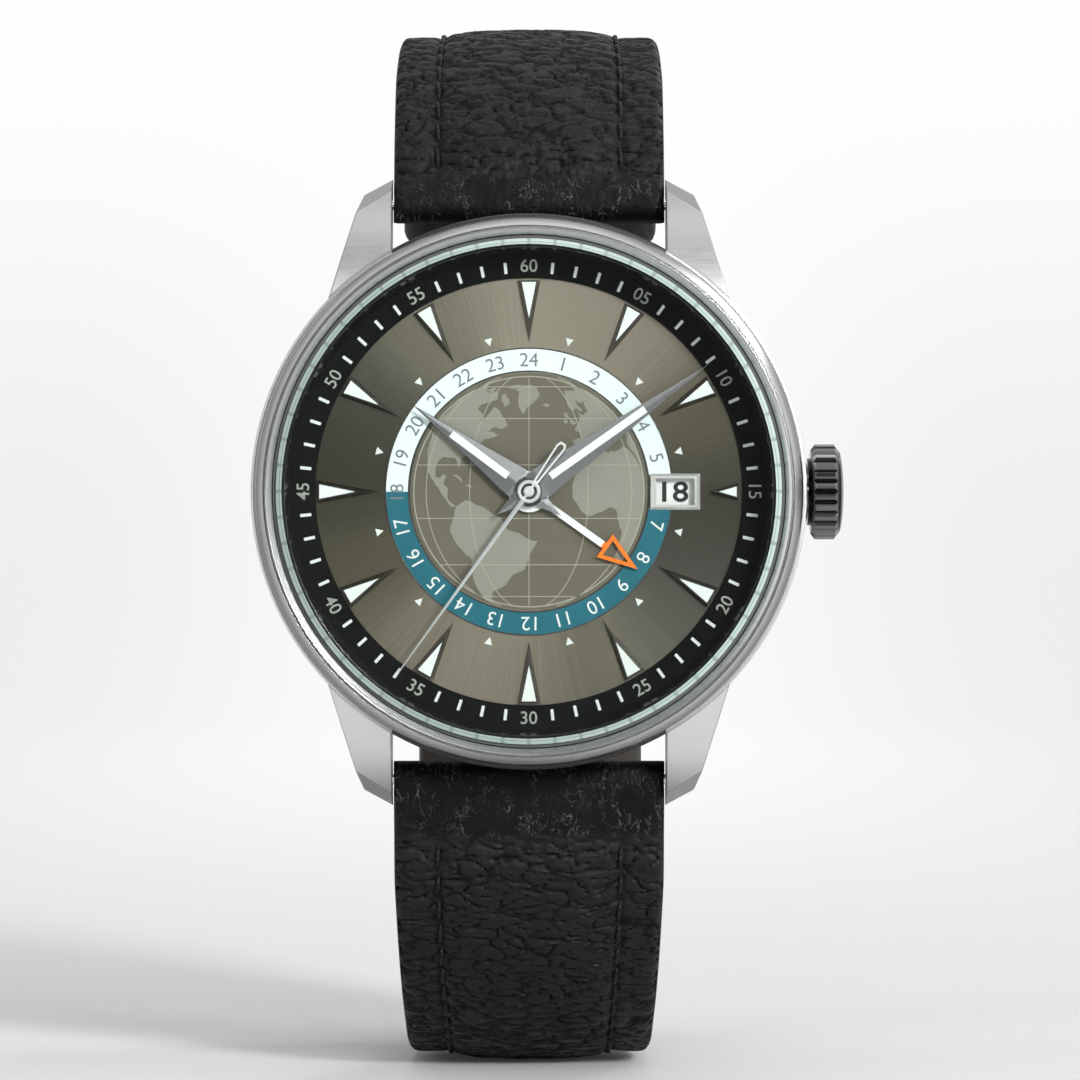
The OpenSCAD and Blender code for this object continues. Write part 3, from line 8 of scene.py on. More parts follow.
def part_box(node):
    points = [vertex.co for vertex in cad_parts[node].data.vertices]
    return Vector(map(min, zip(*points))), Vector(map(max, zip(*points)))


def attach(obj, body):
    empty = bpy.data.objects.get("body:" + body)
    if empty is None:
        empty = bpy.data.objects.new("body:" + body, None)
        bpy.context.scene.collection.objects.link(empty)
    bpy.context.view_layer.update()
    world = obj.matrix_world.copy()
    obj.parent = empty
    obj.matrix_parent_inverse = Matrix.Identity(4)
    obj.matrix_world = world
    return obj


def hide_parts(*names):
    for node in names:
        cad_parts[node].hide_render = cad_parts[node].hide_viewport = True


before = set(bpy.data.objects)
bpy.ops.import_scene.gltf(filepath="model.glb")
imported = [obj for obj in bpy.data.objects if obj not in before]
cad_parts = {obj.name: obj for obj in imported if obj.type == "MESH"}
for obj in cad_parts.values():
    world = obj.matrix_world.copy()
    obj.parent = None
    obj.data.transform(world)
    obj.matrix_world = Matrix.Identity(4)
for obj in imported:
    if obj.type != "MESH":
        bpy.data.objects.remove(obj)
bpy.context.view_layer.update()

# The drift of the leather's grain is drawn from this seed, so each run gives the same pebbles
noise.seed_set(7)

# Sizes of the watch in millimetres, in dial coordinates: x toward the crown, y toward twelve
# o'clock, z out of the dial, counted from the rear face of the case back
MM = 0.001
DIAL_TO_WORLD = Matrix(((MM, 0, 0, 0), (0, 0, -MM, 0), (0, MM, 0, 0), (0, 0, 0, 1)))
DIAL_TOP = 7.15
PRINT = 0.02
GLOBE_R = 8.6
BAND_IN, BAND_OUT = 8.78, 10.34
DATE_AT = 10.6
DATE_TOP = 6.55
CRYSTAL_Z, CRYSTAL_T, CRYSTAL_R, CRYSTAL_BEVEL = 9.72, 1.55, 18.2, 0.42
WALL_FOOT, WALL_R, CASE_NECK, NECK_HALF = 7.4, 18.0, 19.82, 9.9
ORANGE_R = 6.55
AXIS_HOLE = 1.25
LIMB = 0.965

# Strap
BAR_Y, BAR_Z = 21.0, 2.7
END_T, PAD_T, TAIL_T, EDGE_T, EDGE_DROP = 2.7, 3.9, 2.2, 2.2, 0.6
STRAP_W, TAIL_W = 19.8, 18.0
BOW_UP, BOW_DOWN = 12.5, 20.7
STRAIGHT_UP, STRAIGHT_DOWN = 1.0, 1.8
DIVE_UP, DIVE_DOWN = math.radians(20), math.radians(10)
FRONT_R_UP = BOW_UP / (1 - math.sin(DIVE_UP))
FRONT_R_DOWN = BOW_DOWN / (1 - math.sin(DIVE_DOWN))
LAYER_STEP, FLAT_UP = 2.4, 5.2
BACK_R_UP = BAR_Y + BOW_UP - FLAT_UP
LOOP_DEPTH = STRAIGHT_UP + BACK_R_UP + FRONT_R_UP * math.cos(DIVE_UP) - BAR_Z
BACK_R_DOWN = BAR_Z - FRONT_R_DOWN * math.cos(DIVE_DOWN) + LOOP_DEPTH + LAYER_STEP - STRAIGHT_DOWN
FLAT_DOWN = BAR_Y + BOW_DOWN - BACK_R_DOWN
TAIL_RUN = 26.0
LEGS_UP = ((FRONT_R_UP * (math.pi / 2 - DIVE_UP), FRONT_R_UP), (STRAIGHT_UP, 0),
           (BACK_R_UP * math.pi / 2, BACK_R_UP), (FLAT_UP, 0))
LEGS_DOWN = ((FRONT_R_DOWN * (math.pi / 2 - DIVE_DOWN), FRONT_R_DOWN), (STRAIGHT_DOWN, 0),
             (BACK_R_DOWN * math.pi / 2, BACK_R_DOWN), (FLAT_DOWN + FLAT_UP, 0),
             (TAIL_RUN, BACK_R_UP + LAYER_STEP))
LEN_UP = sum(leg[0] for leg in LEGS_UP)
LEN_DOWN = sum(leg[0] for leg in LEGS_DOWN)
TIP_L = 9.0
HOLE_R, HOLE_PITCH, HOLE_MID = 0.95, 6.5, -1.5
STITCH_IN, STITCH_PITCH = 3.2, 2.15
GRAIN_DEPTH = 0.34
STRAP_BORE, BUCKLE_BORE, BORE_L = 0.8, 0.75, 30
FIXED_KEEPER_Y, FREE_KEEPER_TURN = 1.9, math.radians(34)
KEEPER_W, KEEPER_HALF, KEEPER_LOW, KEEPER_HIGH, KEEPER_T, KEEPER_CORNER = 3.0, 9.25, -1.45, 3.85, 0.8, 1.1


# MESHES

def dial_mesh(name, points, faces, uvs=None, tags=None, grain=None):
    """A mesh from points in dial coordinates, with a place on the map and a height of grain for each
    point, and a material number for each face."""
    mesh = bpy.data.meshes.new(name)
    mesh.from_pydata([tuple(p) for p in points], [], faces)
    mesh.transform(DIAL_TO_WORLD)
    if tags:
        mesh.polygons.foreach_set("material_index", tags)
    if uvs:
        layer = mesh.uv_layers.new(name="along")
        layer.data.foreach_set("uv", [c for loop in mesh.loops for c in uvs[loop.vertex_index]])
    if grain:
        mesh.attributes.new("grain", "FLOAT", "POINT").data.foreach_set("value", grain)
    mesh.update()
    return mesh


def piece(name, mesh, body, materials, crease=35):
    """An object of the watch, which rides on a body and takes the given finishes in order."""
    obj = bpy.data.objects.new(name, mesh)
    bpy.context.scene.collection.objects.link(obj)
    for material in materials:
        mesh.materials.append(material)
    mesh.shade_smooth()
    mesh.set_sharp_from_angle(angle=math.radians(crease))
    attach(obj, body)
    return obj


def printed(name, solid, ink, body="case", crease=35):
    """A piece of one finish from points and faces."""
    return piece(name, dial_mesh(name, *solid), body, (ink,), crease)


def joined(parts):
    """Points and faces of several (points, faces) parts as one."""
    points, faces = [], []
    for part_points, part_faces in parts:
        base = len(points)
        points.extend(part_points)
        faces.extend(tuple(i + base for i in f) for f in part_faces)
    return points, faces


def tube(path, radius, sides=8):
    """A closed tube with round ends along a path of points in dial coordinates."""
    points, faces = [], []
    path = [Vector(p) for p in path]
    last = len(path) - 1
    up = Vector((0.31, 0.17, 0.93))
    for i, p in enumerate(path):
        along = (path[min(i + 1, last)] - path[max(i - 1, 0)]).normalized()
        side = along.cross(up).normalized()
        over = side.cross(along)
        for k in range(sides):
            a = math.tau * k / sides
            points.append(p + radius * (math.cos(a) * side + math.sin(a) * over))
    for i in range(last):
        for k in range(sides):
            a, b = i * sides + k, i * sides + (k + 1) % sides
            faces.append((a, b, b + sides, a + sides))
    faces.append(tuple(range(sides))[::-1])
    faces.append(tuple(last * sides + k for k in range(sides)))
    return points, faces


def outline_solid(outlines, z, thick=PRINT):
    """A thin solid, thick above z, with closed outlines in dial coordinates; inner outlines are holes."""
    curve = bpy.data.curves.new("outline", "CURVE")
    curve.dimensions = "2D"
    curve.fill_mode = "BOTH"
    curve.extrude = thick / 2
    for outline in outlines:
        spline = curve.splines.new("POLY")
        spline.points.add(len(outline) - 1)
        for point, (x, y) in zip(spline.points, outline):
            point.co = (x, y, 0, 1)
        spline.use_cyclic_u = True
    return curve_solid(curve, Matrix.Translation((0, 0, z + thick / 2)))


def curve_solid(curve, place):
    """Points and faces of a filled curve or text, moved to its place."""
    obj = bpy.data.objects.new("outline", curve)
    mesh = bpy.data.meshes.new_from_object(obj)
    bm = bmesh.new()
    bm.from_mesh(mesh)
    bmesh.ops.remove_doubles(bm, verts=bm.verts, dist=0.0004)
    bmesh.ops.dissolve_degenerate(bm, edges=bm.edges, dist=0.0004)
    bm.transform(place)
    bm.verts.index_update()
    made = ([v.co.copy() for v in bm.verts], [tuple(v.index for v in f.verts) for f in bm.faces])
    bm.free()
    bpy.data.objects.remove(obj)
    bpy.data.meshes.remove(mesh)
    return made


def numbers(marks, height, z, bold=0.0, wide=1.0):
    """Printed numbers; each mark is (text, x, y, turn in radians), centred on its place."""
    parts = []
    for text, x, y, turn in marks:
        font = bpy.data.curves.new("number", "FONT")
        font.body = text
        font.size = 1.0
        font.resolution_u = 6
        font.offset = bold
        font.extrude = PRINT / 2 / height * 0.72
        probe = curve_solid(font, Matrix.Identity(4))[0]
        low = Vector([min(p[i] for p in probe) for i in range(3)])
        high = Vector([max(p[i] for p in probe) for i in range(3)])
        scale = height / (high.y - low.y)
        place = (Matrix.Translation((x, y, z + PRINT / 2)) @ Matrix.Rotation(turn, 4, "Z")
                 @ Matrix.Diagonal((scale * wide, scale, scale, 1))
                 @ Matrix.Translation(-(low + high) / 2))
        parts.append(curve_solid(font, place))
        bpy.data.curves.remove(font)
    return joined(parts)


def on_circle(radius, clock):
    """A point at a radius, at an angle clockwise from twelve in degrees."""
    a = math.radians(90 - clock)
    return radius * math.cos(a), radius * math.sin(a)


def arc(radius, start, end, steps=48):
    """Points along a circle between two clock angles."""
    return [on_circle(radius, start + (end - start) * i / steps) for i in range(steps + 1)]


def circle(radius, steps):
    return arc(radius, 0, 360, steps)[:-1]


# SHADERS

def srgb(*levels):
    """A colour written in screen levels from 0 to 255."""
    linear = [((c / 255 + 0.055) / 1.055) ** 2.4 if c > 10 else c / 255 / 12.92 for c in levels]
    return (*linear, 1.0)


def darker(colour, share):
    """A colour at a share of its strength."""
    return (*(c * share for c in colour[:3]), 1.0)


class Wire:
    """An output of a node, to be linked or reckoned with."""

    def __init__(self, net, socket):
        self.net, self.socket = net, socket

    def __rsub__(self, other):
        return self.net.calc("SUBTRACT", other, self)

    def __abs__(self):
        return self.net.calc("ABSOLUTE", self)


for sign, operation in (("add", "ADD"), ("sub", "SUBTRACT"), ("mul", "MULTIPLY"), ("lt", "LESS_THAN")):
    setattr(Wire, f"__{sign}__", lambda self, other, operation=operation: self.net.calc(operation, self, other))


class Net:
    """A node tree with the node at its end, and short ways to add nodes and link them."""

    def __init__(self, tree, end):
        self.tree, self.end = tree, end

    def plug(self, socket, value):
        """Links an input, or sets its constant."""
        if isinstance(value, Wire):
            self.tree.links.new(value.socket, socket)
        else:
            socket.default_value = value

    def node(self, kind, **values):
        """A shader node. Lower case names are its own settings, and the others its inputs."""
        made = self.tree.nodes.new("ShaderNode" + kind)
        for key, value in values.items():
            if key[0].islower():
                setattr(made, key, value)
            else:
                self.plug(made.inputs[key.replace("_", " ")], value)
        return made

    def add(self, kind, output=0, **values):
        """One output of a new node."""
        return Wire(self, self.node(kind, **values).outputs[output])

    def outputs(self, kind, **values):
        """All outputs of a new node, by name."""
        return {socket.name: Wire(self, socket) for socket in self.node(kind, **values).outputs}

    def use(self, effect, **values):
        """The outputs of a shared effect, by name."""
        return self.outputs("Group", node_tree=effect, **values)

    def feed(self, kind, *values, output=0, **settings):
        """One output of a new node whose inputs are given in their order."""
        made = self.node(kind, **settings)
        for socket, value in zip(made.inputs, values):
            self.plug(socket, value)
        return Wire(self, made.outputs[output])

    def calc(self, operation, *values, **settings):
        """The result of a Math node."""
        return self.feed("Math", *values, operation=operation, **settings)

    def end_with(self, **values):
        """Links or sets the inputs of the shader, or of the end of a group."""
        for key, value in values.items():
            self.plug(self.end.inputs[key.replace("_", " ")], value)

    def surface(self, value):
        """Shows this shader as the material's surface."""
        self.plug(self.tree.nodes["Material Output"].inputs[0], value)

    def place(self):
        return self.add("TexCoord", "Object")

    def split(self, vector):
        made = self.node("SeparateXYZ", Vector=vector)
        return [Wire(self, socket) for socket in made.outputs]

    def noise(self, vector, scale, detail=3.0, **values):
        return self.add("TexNoise", Vector=vector, Scale=scale, Detail=detail, **values)

    def soft_edge(self, radius, samples=4):
        return self.add("Bevel", samples=samples, Radius=radius)

    def bump(self, height, distance, normal=None):
        """A bump of a height in metres."""
        given = {"Normal": normal} if normal else {}
        return self.add("Bump", Height=height, Distance=distance, **given)

    def blend(self, share, first, second):
        """A colour mixed from two."""
        made = self.node("Mix", data_type="RGBA")
        for index, value in ((0, share), (6, first), (7, second)):
            self.plug(made.inputs[index], value)
        return Wire(self, made.outputs[2])

    def ramp(self, share, stops, smooth=True):
        """A colour from a ramp of (place, colour) stops."""
        made = self.node("ValToRGB")
        elements = made.color_ramp.elements
        made.color_ramp.interpolation = "EASE" if smooth else "LINEAR"
        while len(elements) < len(stops):
            elements.new(0.5)
        for element, (place, colour) in zip(elements, stops):
            element.position, element.color = place, colour
        self.plug(made.inputs[0], share)
        return Wire(self, made.outputs[0])

    def span(self, value, start, end, low=0.0, high=1.0, kind="LINEAR"):
        """A value that goes from low to high between two places."""
        return self.add("MapRange", interpolation_type=kind, Value=value, From_Min=start, From_Max=end,
                        To_Min=low, To_Max=high)

    def soft_step(self, value, start, end, low=0.0, high=1.0):
        """A value that eases from low to high between two places."""
        return self.span(value, start, end, low, high, "SMOOTHSTEP")


def shared_effect(name, outputs, **inputs):
    """An empty node group with its named inputs, as seen from within."""
    tree = bpy.data.node_groups.new(name, "ShaderNodeTree")
    for label, value in inputs.items():
        kind = "Vector" if isinstance(value, tuple) else "Float"
        socket = tree.interface.new_socket(label, in_out="INPUT", socket_type="NodeSocket" + kind)
        socket.default_value = value
    for label in outputs:
        tree.interface.new_socket(label, in_out="OUTPUT", socket_type="NodeSocketFloat")
    start = tree.nodes.new("NodeGroupInput")
    net = Net(tree, tree.nodes.new("NodeGroupOutput"))
    return net, {label: Wire(net, start.outputs[label]) for label in inputs}


def shader(name, **values):
    """A material with one Principled BSDF whose constants are set on its own sockets."""
    material = bpy.data.materials.new(name)
    material.use_nodes = True
    net = Net(material.node_tree, material.node_tree.nodes["Principled BSDF"])
    net.end_with(**values)
    return material, net


def make_smudges():
    """Faint patches and hairlines that metal picks up from handling."""
    net, given = shared_effect("handling_marks", ("Roughness", "Height"), Size=300.0, Patches=0.05, Hairlines=0.04)
    place = net.place()
    patch = net.noise(place, given["Size"], Roughness=0.6)
    stretched = net.add("Mapping", Vector=place, Scale=(5000, 900, 14000), Rotation=(0.3, 0.7, 0.4))
    lines = net.noise(stretched, 1.0, 2.0)
    net.end_with(Roughness=(patch - 0.5) * given["Patches"] + (lines - 0.5) * given["Hairlines"], Height=lines)
    return net.tree


def make_round_grain():
    """Brush lines that run round the dial's axis (Circular 1) or out from it (Circular 0)."""
    net, given = shared_effect("round_grain", ("Streak", "Radius", "Turn"), Lines=9000.0, Spokes=220.0,
                               Circular=1.0)
    x, y, z = net.split(net.place())
    radius = net.calc("SQRT", x * x + z * z)
    turn = net.calc("ARCTAN2", z, x)
    ring = net.add("CombineXYZ", X=radius * given["Lines"], Y=turn * 1.5, Z=y * given["Lines"])
    ray = net.add("CombineXYZ", X=net.calc("COSINE", turn) * given["Spokes"],
                  Y=net.calc("SINE", turn) * given["Spokes"], Z=radius * 60.0)
    across, outward = (net.noise(way, 1.0, Roughness=0.7) for way in (ring, ray))
    net.end_with(Streak=net.add("Mix", Factor=given["Circular"], A=outward, B=across), Radius=radius, Turn=turn)
    return net.tree


def make_straight_grain():
    """Brush lines along one direction, which Stretch gives: small along the lines and large across."""
    net, given = shared_effect("straight_grain", ("Streak",), Stretch=(600, 600, 12000), Turn=(0, 0, 0))
    laid = net.add("Mapping", Vector=net.place(), Rotation=given["Turn"])
    stretched = net.feed("VectorMath", laid, given["Stretch"], operation="MULTIPLY")
    net.end_with(Streak=net.noise(stretched, 1.0, Roughness=0.65))
    return net.tree


def make_pores():
    """Pores and small wrinkles between the pebbles of leather, laid out on the strap's own map."""
    net, given = shared_effect("leather_pores", ("Height", "Mottle", "Run", "Across"), Scale=3.2, Stretch=1.7)
    place = net.add("UVMap", uv_map="along")
    across, run, _ = net.split(place)
    flat = net.add("CombineXYZ", X=across, Y=run * given["Stretch"])
    cells = net.add("TexVoronoi", "Distance", feature="SMOOTH_F1", Vector=flat, Scale=given["Scale"],
                    Smoothness=0.4)
    fine = net.noise(place, 9.0, 4.0, Roughness=0.65)
    net.end_with(Height=cells * -0.8 + fine * 0.5, Mottle=net.noise(place, 0.45), Run=run, Across=across)
    return net.tree


SMUDGES = make_smudges()
ROUND_GRAIN = make_round_grain()
STRAIGHT_GRAIN = make_straight_grain()
PORES = make_pores()


# MATERIALS, with lengths in metres

def polished(net, dark, light, share, roughness, edge):
    """A polish between two tones, with softened edges and faint hairlines; without a share the hairlines
    part the tones."""
    marks = net.use(SMUDGES, Size=260.0, Patches=0.06, Hairlines=0.05)
    net.end_with(Roughness=marks["Roughness"] + roughness,
                 Base_Color=net.blend(share or marks["Height"], dark, light),
                 Normal=net.bump(marks["Height"], 0.0000006, net.soft_edge(edge)))


def polished_steel(name, colour, roughness=0.12, edge=0.00006, metallic=1.0):
    """Steel polished to a mirror."""
    material, net = shader(name, Metallic=metallic)
    polished(net, darker(colour, 0.94), colour, None, roughness, edge)
    return material


def fluted_steel():
    """The crown: polished flutes, with painted shade where they meet and a painted highlight along their crests."""
    material, net = shader("crown_steel", Metallic=1.0)
    _, y, z = net.split(net.place())
    low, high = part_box("crown")
    crest_r = (high[2] - low[2]) / 2
    rise = y - (low[1] + high[1]) / 2
    off_axis = net.calc("SQRT", rise * rise + z * z)
    # painted highlight along the flutes' crests, painted shade in the grooves between them
    painted_crest_highlight = net.soft_step(off_axis, crest_r - 0.00042, crest_r - 0.00004)
    polished(net, srgb(20, 20, 21), srgb(116, 117, 119), painted_crest_highlight, 0.18, 0.00004)
    return material


def case_steel(name, colour):
    """The middle case: fine satin, with painted shade on the end faces of the lugs and between the lugs, a fine
    painted dark line along its edges, and black gloss on the wall inside the crystal."""
    material, net = shader(name, Specular_IOR_Level=1.0)
    grain = net.use(STRAIGHT_GRAIN, Stretch=(500, 500, 9000))["Streak"]
    marks = net.use(SMUDGES, Size=180.0, Patches=0.08, Hairlines=0.03)
    radius = net.use(ROUND_GRAIN)["Radius"]
    x, y, _ = net.split(net.place())
    wall = (radius < WALL_R * MM) * (y < -WALL_FOOT * MM)
    # painted shade: faces that point toward twelve or six, such as the lugs' end faces, are darker
    facing = net.split(net.add("TexCoord", "Normal"))[2]
    painted_shade_end_face = net.soft_step(abs(facing), 0.45, 0.75)
    soft = net.soft_edge(0.00016, 6)
    # painted shade: a fine dark line along the edges, where the softened normal parts from the true one
    likeness = net.feed("VectorMath", soft, net.add("NewGeometry", "True Normal"), operation="DOT_PRODUCT",
                        output="Value")
    edge = net.soft_step(likeness, 0.9, 0.995, 0.7, 0.0)
    # painted shade of the strap on the case body between the lugs, just outside the bezel
    painted_neck_shade = (abs(x) < NECK_HALF * MM) * net.soft_step(radius, (CASE_NECK - 0.05) * MM, CASE_NECK * MM)
    tone = net.blend(grain, darker(colour, 0.95), colour)
    # the painted shades go on in turn, then the black wall
    for share, shade in ((painted_shade_end_face * 0.9, srgb(98, 99, 101)), (edge, srgb(50, 51, 53)),
                         (painted_neck_shade * 0.9, srgb(46, 46, 47)), (wall, srgb(22, 24, 22))):
        tone = net.blend(share, tone, shade)
    net.end_with(Base_Color=tone, Metallic=1.0 - wall,
                 Roughness=(grain * 0.12 + 0.28 + marks["Roughness"]) * (wall * -0.6 + 1.0),
                 Normal=net.bump(grain, 0.0000012, soft))
    return material


def circular_steel(name, colour, roughness=0.26, painted_shade_rim=None):
    """Steel brushed round the watch's axis, with painted shade where it turns down between two given radii."""
    material, net = shader(name, Metallic=1.0)
    grain = net.use(ROUND_GRAIN, Lines=16000.0, Circular=1.0)
    marks = net.use(SMUDGES, Size=220.0, Patches=0.06, Hairlines=0.03)
    rough = net.span(grain["Streak"], 0.3, 0.7, roughness - 0.05, roughness + 0.06)
    tone = net.blend(grain["Streak"], darker(colour, 0.86), colour)
    # painted shade where the bezel turns down at its outer edge
    if painted_shade_rim:
        tone = net.blend(net.soft_step(grain["Radius"], painted_shade_rim[0] * MM, painted_shade_rim[1] * MM), tone, darker(colour, 0.45))
    net.end_with(Roughness=rough + marks["Roughness"], Base_Color=tone,
                 Normal=net.bump(grain["Streak"], 0.0000012, net.soft_edge(0.00006)))
    return material


def sunburst_dial():
    """Lacquered dial brushed out from its centre, with a painted sheen: lightest toward twelve and six,
    darkest toward three and nine, and a little darker below the middle.
    """
    material, net = shader("sunburst_dial", Metallic=0.2, Anisotropic=0.6, Coat_Weight=0.12,
                           Coat_Roughness=0.12, Roughness=0.4)
    grain = net.use(ROUND_GRAIN, Spokes=190.0, Circular=0.0)
    # painted sheen: light lobes toward twelve and six, dark toward three and nine, darker in the lower half
    doubled = grain["Turn"] * 2.0 + (math.radians(40) - math.pi)
    painted_sheen = net.calc("SINE", grain["Turn"]) * 0.07 + (net.calc("COSINE", doubled) * 0.47 + 0.47)
    # the brush streaks ride on the painted sheen
    ray = net.calc("MULTIPLY_ADD", grain["Streak"] - 0.5, 0.45, painted_sheen, use_clamp=True)
    tone = net.ramp(ray, ((0.0, srgb(40, 38, 25)), (0.45, srgb(82, 77, 61)), (1.0, srgb(137, 128, 113))))
    net.end_with(Base_Color=tone, Tangent=net.add("Tangent", direction_type="RADIAL", axis="Y"),
                 Normal=net.bump(grain["Streak"], 0.0000025))
    return material


def mottled(name, dark, light, scale, detail=3.0, rough=None, relief=0.0, edge=0.0, **values):
    """A material whose colour, roughness (share and least) and relief follow one fine noise."""
    material, net = shader(name, **values)
    cloud = net.noise(net.place(), scale, detail)
    net.end_with(Base_Color=net.blend(cloud, dark, light))
    if rough:
        net.end_with(Roughness=cloud * rough[0] + rough[1])
    if relief:
        net.end_with(Normal=net.bump(cloud, relief, net.soft_edge(edge) if edge else None))
    return material


def lacquer(name, colour, roughness=0.35, coat=0.3, mottle=0.04, metallic=0.0, specular=0.4):
    """Even lacquer or ink with the faint unevenness of a print."""
    return mottled(name, darker(colour, 1 - 3 * mottle), colour, 900.0, 4.0, (0.12, roughness - 0.06), 0.000002,
                   Metallic=metallic, Coat_Weight=coat, Coat_Roughness=0.15, Specular_IOR_Level=specular)


def gilt_brass(name, colour, roughness=0.2):
    """Gilt wheels with the fine round graining of the train."""
    return mottled(name, darker(colour, 0.8), colour, 5200.0, 3.0, (0.16, roughness - 0.08), 0.000002, 0.00003,
                   Metallic=1.0)


def two_tone_hand():
    """White lacquered hand whose point is orange."""
    material, net = shader("second_zone_hand_lacquer", Coat_Weight=0.4, Coat_Roughness=0.1)
    grain = net.use(ROUND_GRAIN, Circular=1.0)
    tip = net.calc("GREATER_THAN", grain["Radius"], ORANGE_R * MM)
    net.end_with(Base_Color=net.blend(tip, srgb(244, 246, 244), srgb(255, 126, 14)),
                 Roughness=grain["Streak"] * 0.1 + 0.28)
    return material


def clear_sapphire(name):
    """Polished sapphire; light for shadows passes straight through it."""
    material, net = shader(name, Roughness=0.0, IOR=1.5, Transmission_Weight=1.0,
                           Base_Color=srgb(250, 253, 252), Specular_IOR_Level=0.35)
    marks = net.use(SMUDGES, Size=90.0, Patches=0.02, Hairlines=0.01)
    net.end_with(Roughness=net.calc("ADD", marks["Roughness"], 0.012, use_clamp=True))
    path = net.outputs("LightPath")
    shadow = net.calc("MAXIMUM", path["Is Shadow Ray"], path["Is Diffuse Ray"])
    net.surface(net.feed("MixShader", shadow, Wire(net, net.end.outputs[0]),
                         net.add("BsdfTransparent", Color=(0.96, 0.98, 0.97, 1))))
    return material


def ground_edge():
    """The bevel of the crystal, painted pale green white as the light it catches, with painted reflections
    of the minute strokes and a painted thin dark line.
    """
    material, net = shader("crystal_bevel_ground", Roughness=0.22, Coat_Weight=0.4, Coat_Roughness=0.05)
    grain = net.use(ROUND_GRAIN, Lines=16000.0, Circular=1.0)
    # painted light: the bevel's pale tone stands for the light the glass edge catches
    tone = net.blend(grain["Streak"], srgb(140, 160, 156), srgb(206, 224, 217))
    # painted reflection of the minute strokes in the bevel
    minute = net.calc("FRACT", grain["Turn"] * (60 / math.tau) + 60.5)
    painted_strokes = net.soft_step(abs(minute - 0.5), 0.05, 0.09, 0.5, 0.0)
    # painted reflection: a thin dark line within the bevel
    line_r = (CRYSTAL_R - 0.6 * CRYSTAL_BEVEL) * MM
    line = net.soft_step(abs(grain["Radius"] - line_r), 0.00002, 0.00005, 0.55, 0.0)
    net.end_with(Base_Color=net.blend(net.calc("MAXIMUM", painted_strokes, line), tone, srgb(84, 98, 94)),
                 Normal=net.bump(grain["Streak"], 0.0000015))
    return material


def striped_nickel(name, colour, pitch=1.25, turn=0.6):
    """Nickel plate with straight polished waves, as on the bridges of a movement."""
    material, net = shader(name, Metallic=1.0)
    x = net.split(net.add("Mapping", Vector=net.place(), Rotation=(0, turn, 0)))[0]
    wave = net.calc("FRACT", x * (1000 / pitch))
    hump = 1.0 - net.calc("POWER", abs(wave * 2.0 - 1.0), 2.0)
    grain = net.use(STRAIGHT_GRAIN, Stretch=(500, 4000, 14000), Turn=(0, turn, 0))["Streak"]
    net.end_with(Base_Color=net.blend(grain * 0.5 + wave * 0.5, darker(colour, 0.7), colour),
                 Roughness=grain * 0.12 + 0.2,
                 Normal=net.bump(grain * 0.25 + hump, 0.000012, net.soft_edge(0.00008)))
    return material


def spotted_nickel(name, colour):
    """Nickel plate covered with small overlapping ground spots."""
    material, net = shader(name, Metallic=1.0)
    flat = net.add("Mapping", Vector=net.place(), Scale=(1300, 1, 1300))
    spots = net.add("TexVoronoi", "Distance", Vector=flat, Scale=1.0, Randomness=0.15)
    rings = net.calc("SINE", spots * 40.0)
    tone = net.calc("MULTIPLY_ADD", rings, 0.2, 0.9 - spots, use_clamp=True)
    net.end_with(Base_Color=net.blend(tone, darker(colour, 0.72), colour), Roughness=rings * 0.05 + 0.3,
                 Normal=net.bump(spots, 0.000012))
    return material


def grained_leather(name, dark, light, depth=0.00005, folded=False):
    """Black leather with painted shade in the creases between its pebbles and a patchy painted highlight
    on their tops. Where it is folded round a spring bar it turns darker, with fine pale creases that run
    lengthwise."""
    material, net = shader(name, Specular_IOR_Level=0.2)
    pores = net.use(PORES, Scale=3.2)
    grain = net.add("Attribute", "Fac", attribute_name="grain")
    # painted highlight on the pebbles' tops and painted shade in the creases, from the grain's height, made patchy by
    # a mottle
    painted_pebble_light = net.calc("MULTIPLY", net.soft_step(grain, 0.15, 0.75), pores["Mottle"] * 0.8 + 0.4, use_clamp=True)
    tone = net.blend(painted_pebble_light, dark, light)
    rough = grain * -0.16 + 0.66
    height = pores["Height"]
    if folded:
        bend = net.add("CombineXYZ", X=pores["Across"] * 1.05, Y=pores["Run"] * 0.5)
        lines = net.noise(bend, 1.0, Roughness=0.6, Distortion=1.4)
        crease = net.soft_step(abs(lines - 0.5), 0.003, 0.02, 1.0, 0.0)
        fold = net.soft_step(pores["Mottle"] * 1.8 + (pores["Run"] - 0.9), -0.3, 0.5, 1.0, 0.0)
        pale = crease * net.span(pores["Mottle"], 0.44, 0.6) * 0.6
        tone = net.blend(fold, tone, net.blend(pale, srgb(3, 3, 4), srgb(112, 112, 114)))
        rough = fold * 0.08 + rough
        height = crease * fold * -0.6 + height
    net.end_with(Base_Color=tone, Roughness=rough, Normal=net.bump(height, depth))
    return material


def lining_leather():
    """Smooth lining with small pores, a little lighter than the outside."""
    material, net = shader("strap_lining", Specular_IOR_Level=0.3)
    pores = net.use(PORES, Scale=5.0, Stretch=1.0)
    net.end_with(Base_Color=net.blend(pores["Mottle"], srgb(40, 37, 35), srgb(62, 57, 53)),
                 Roughness=pores["Mottle"] * -0.1 + 0.75, Normal=net.bump(pores["Height"], 0.00003))
    return material


def waxed_thread():
    """Waxed black thread with its twist."""
    material, net = shader("waxed_thread", Specular_IOR_Level=0.25)
    twist = net.add("TexWave", 1, Vector=net.place(), Scale=1400.0, Distortion=2.0,
                    bands_direction="DIAGONAL")
    net.end_with(Base_Color=net.blend(twist, srgb(6, 6, 7), srgb(24, 24, 26)), Roughness=twist * 0.15 + 0.45,
                 Normal=net.bump(twist, 0.00003))
    return material


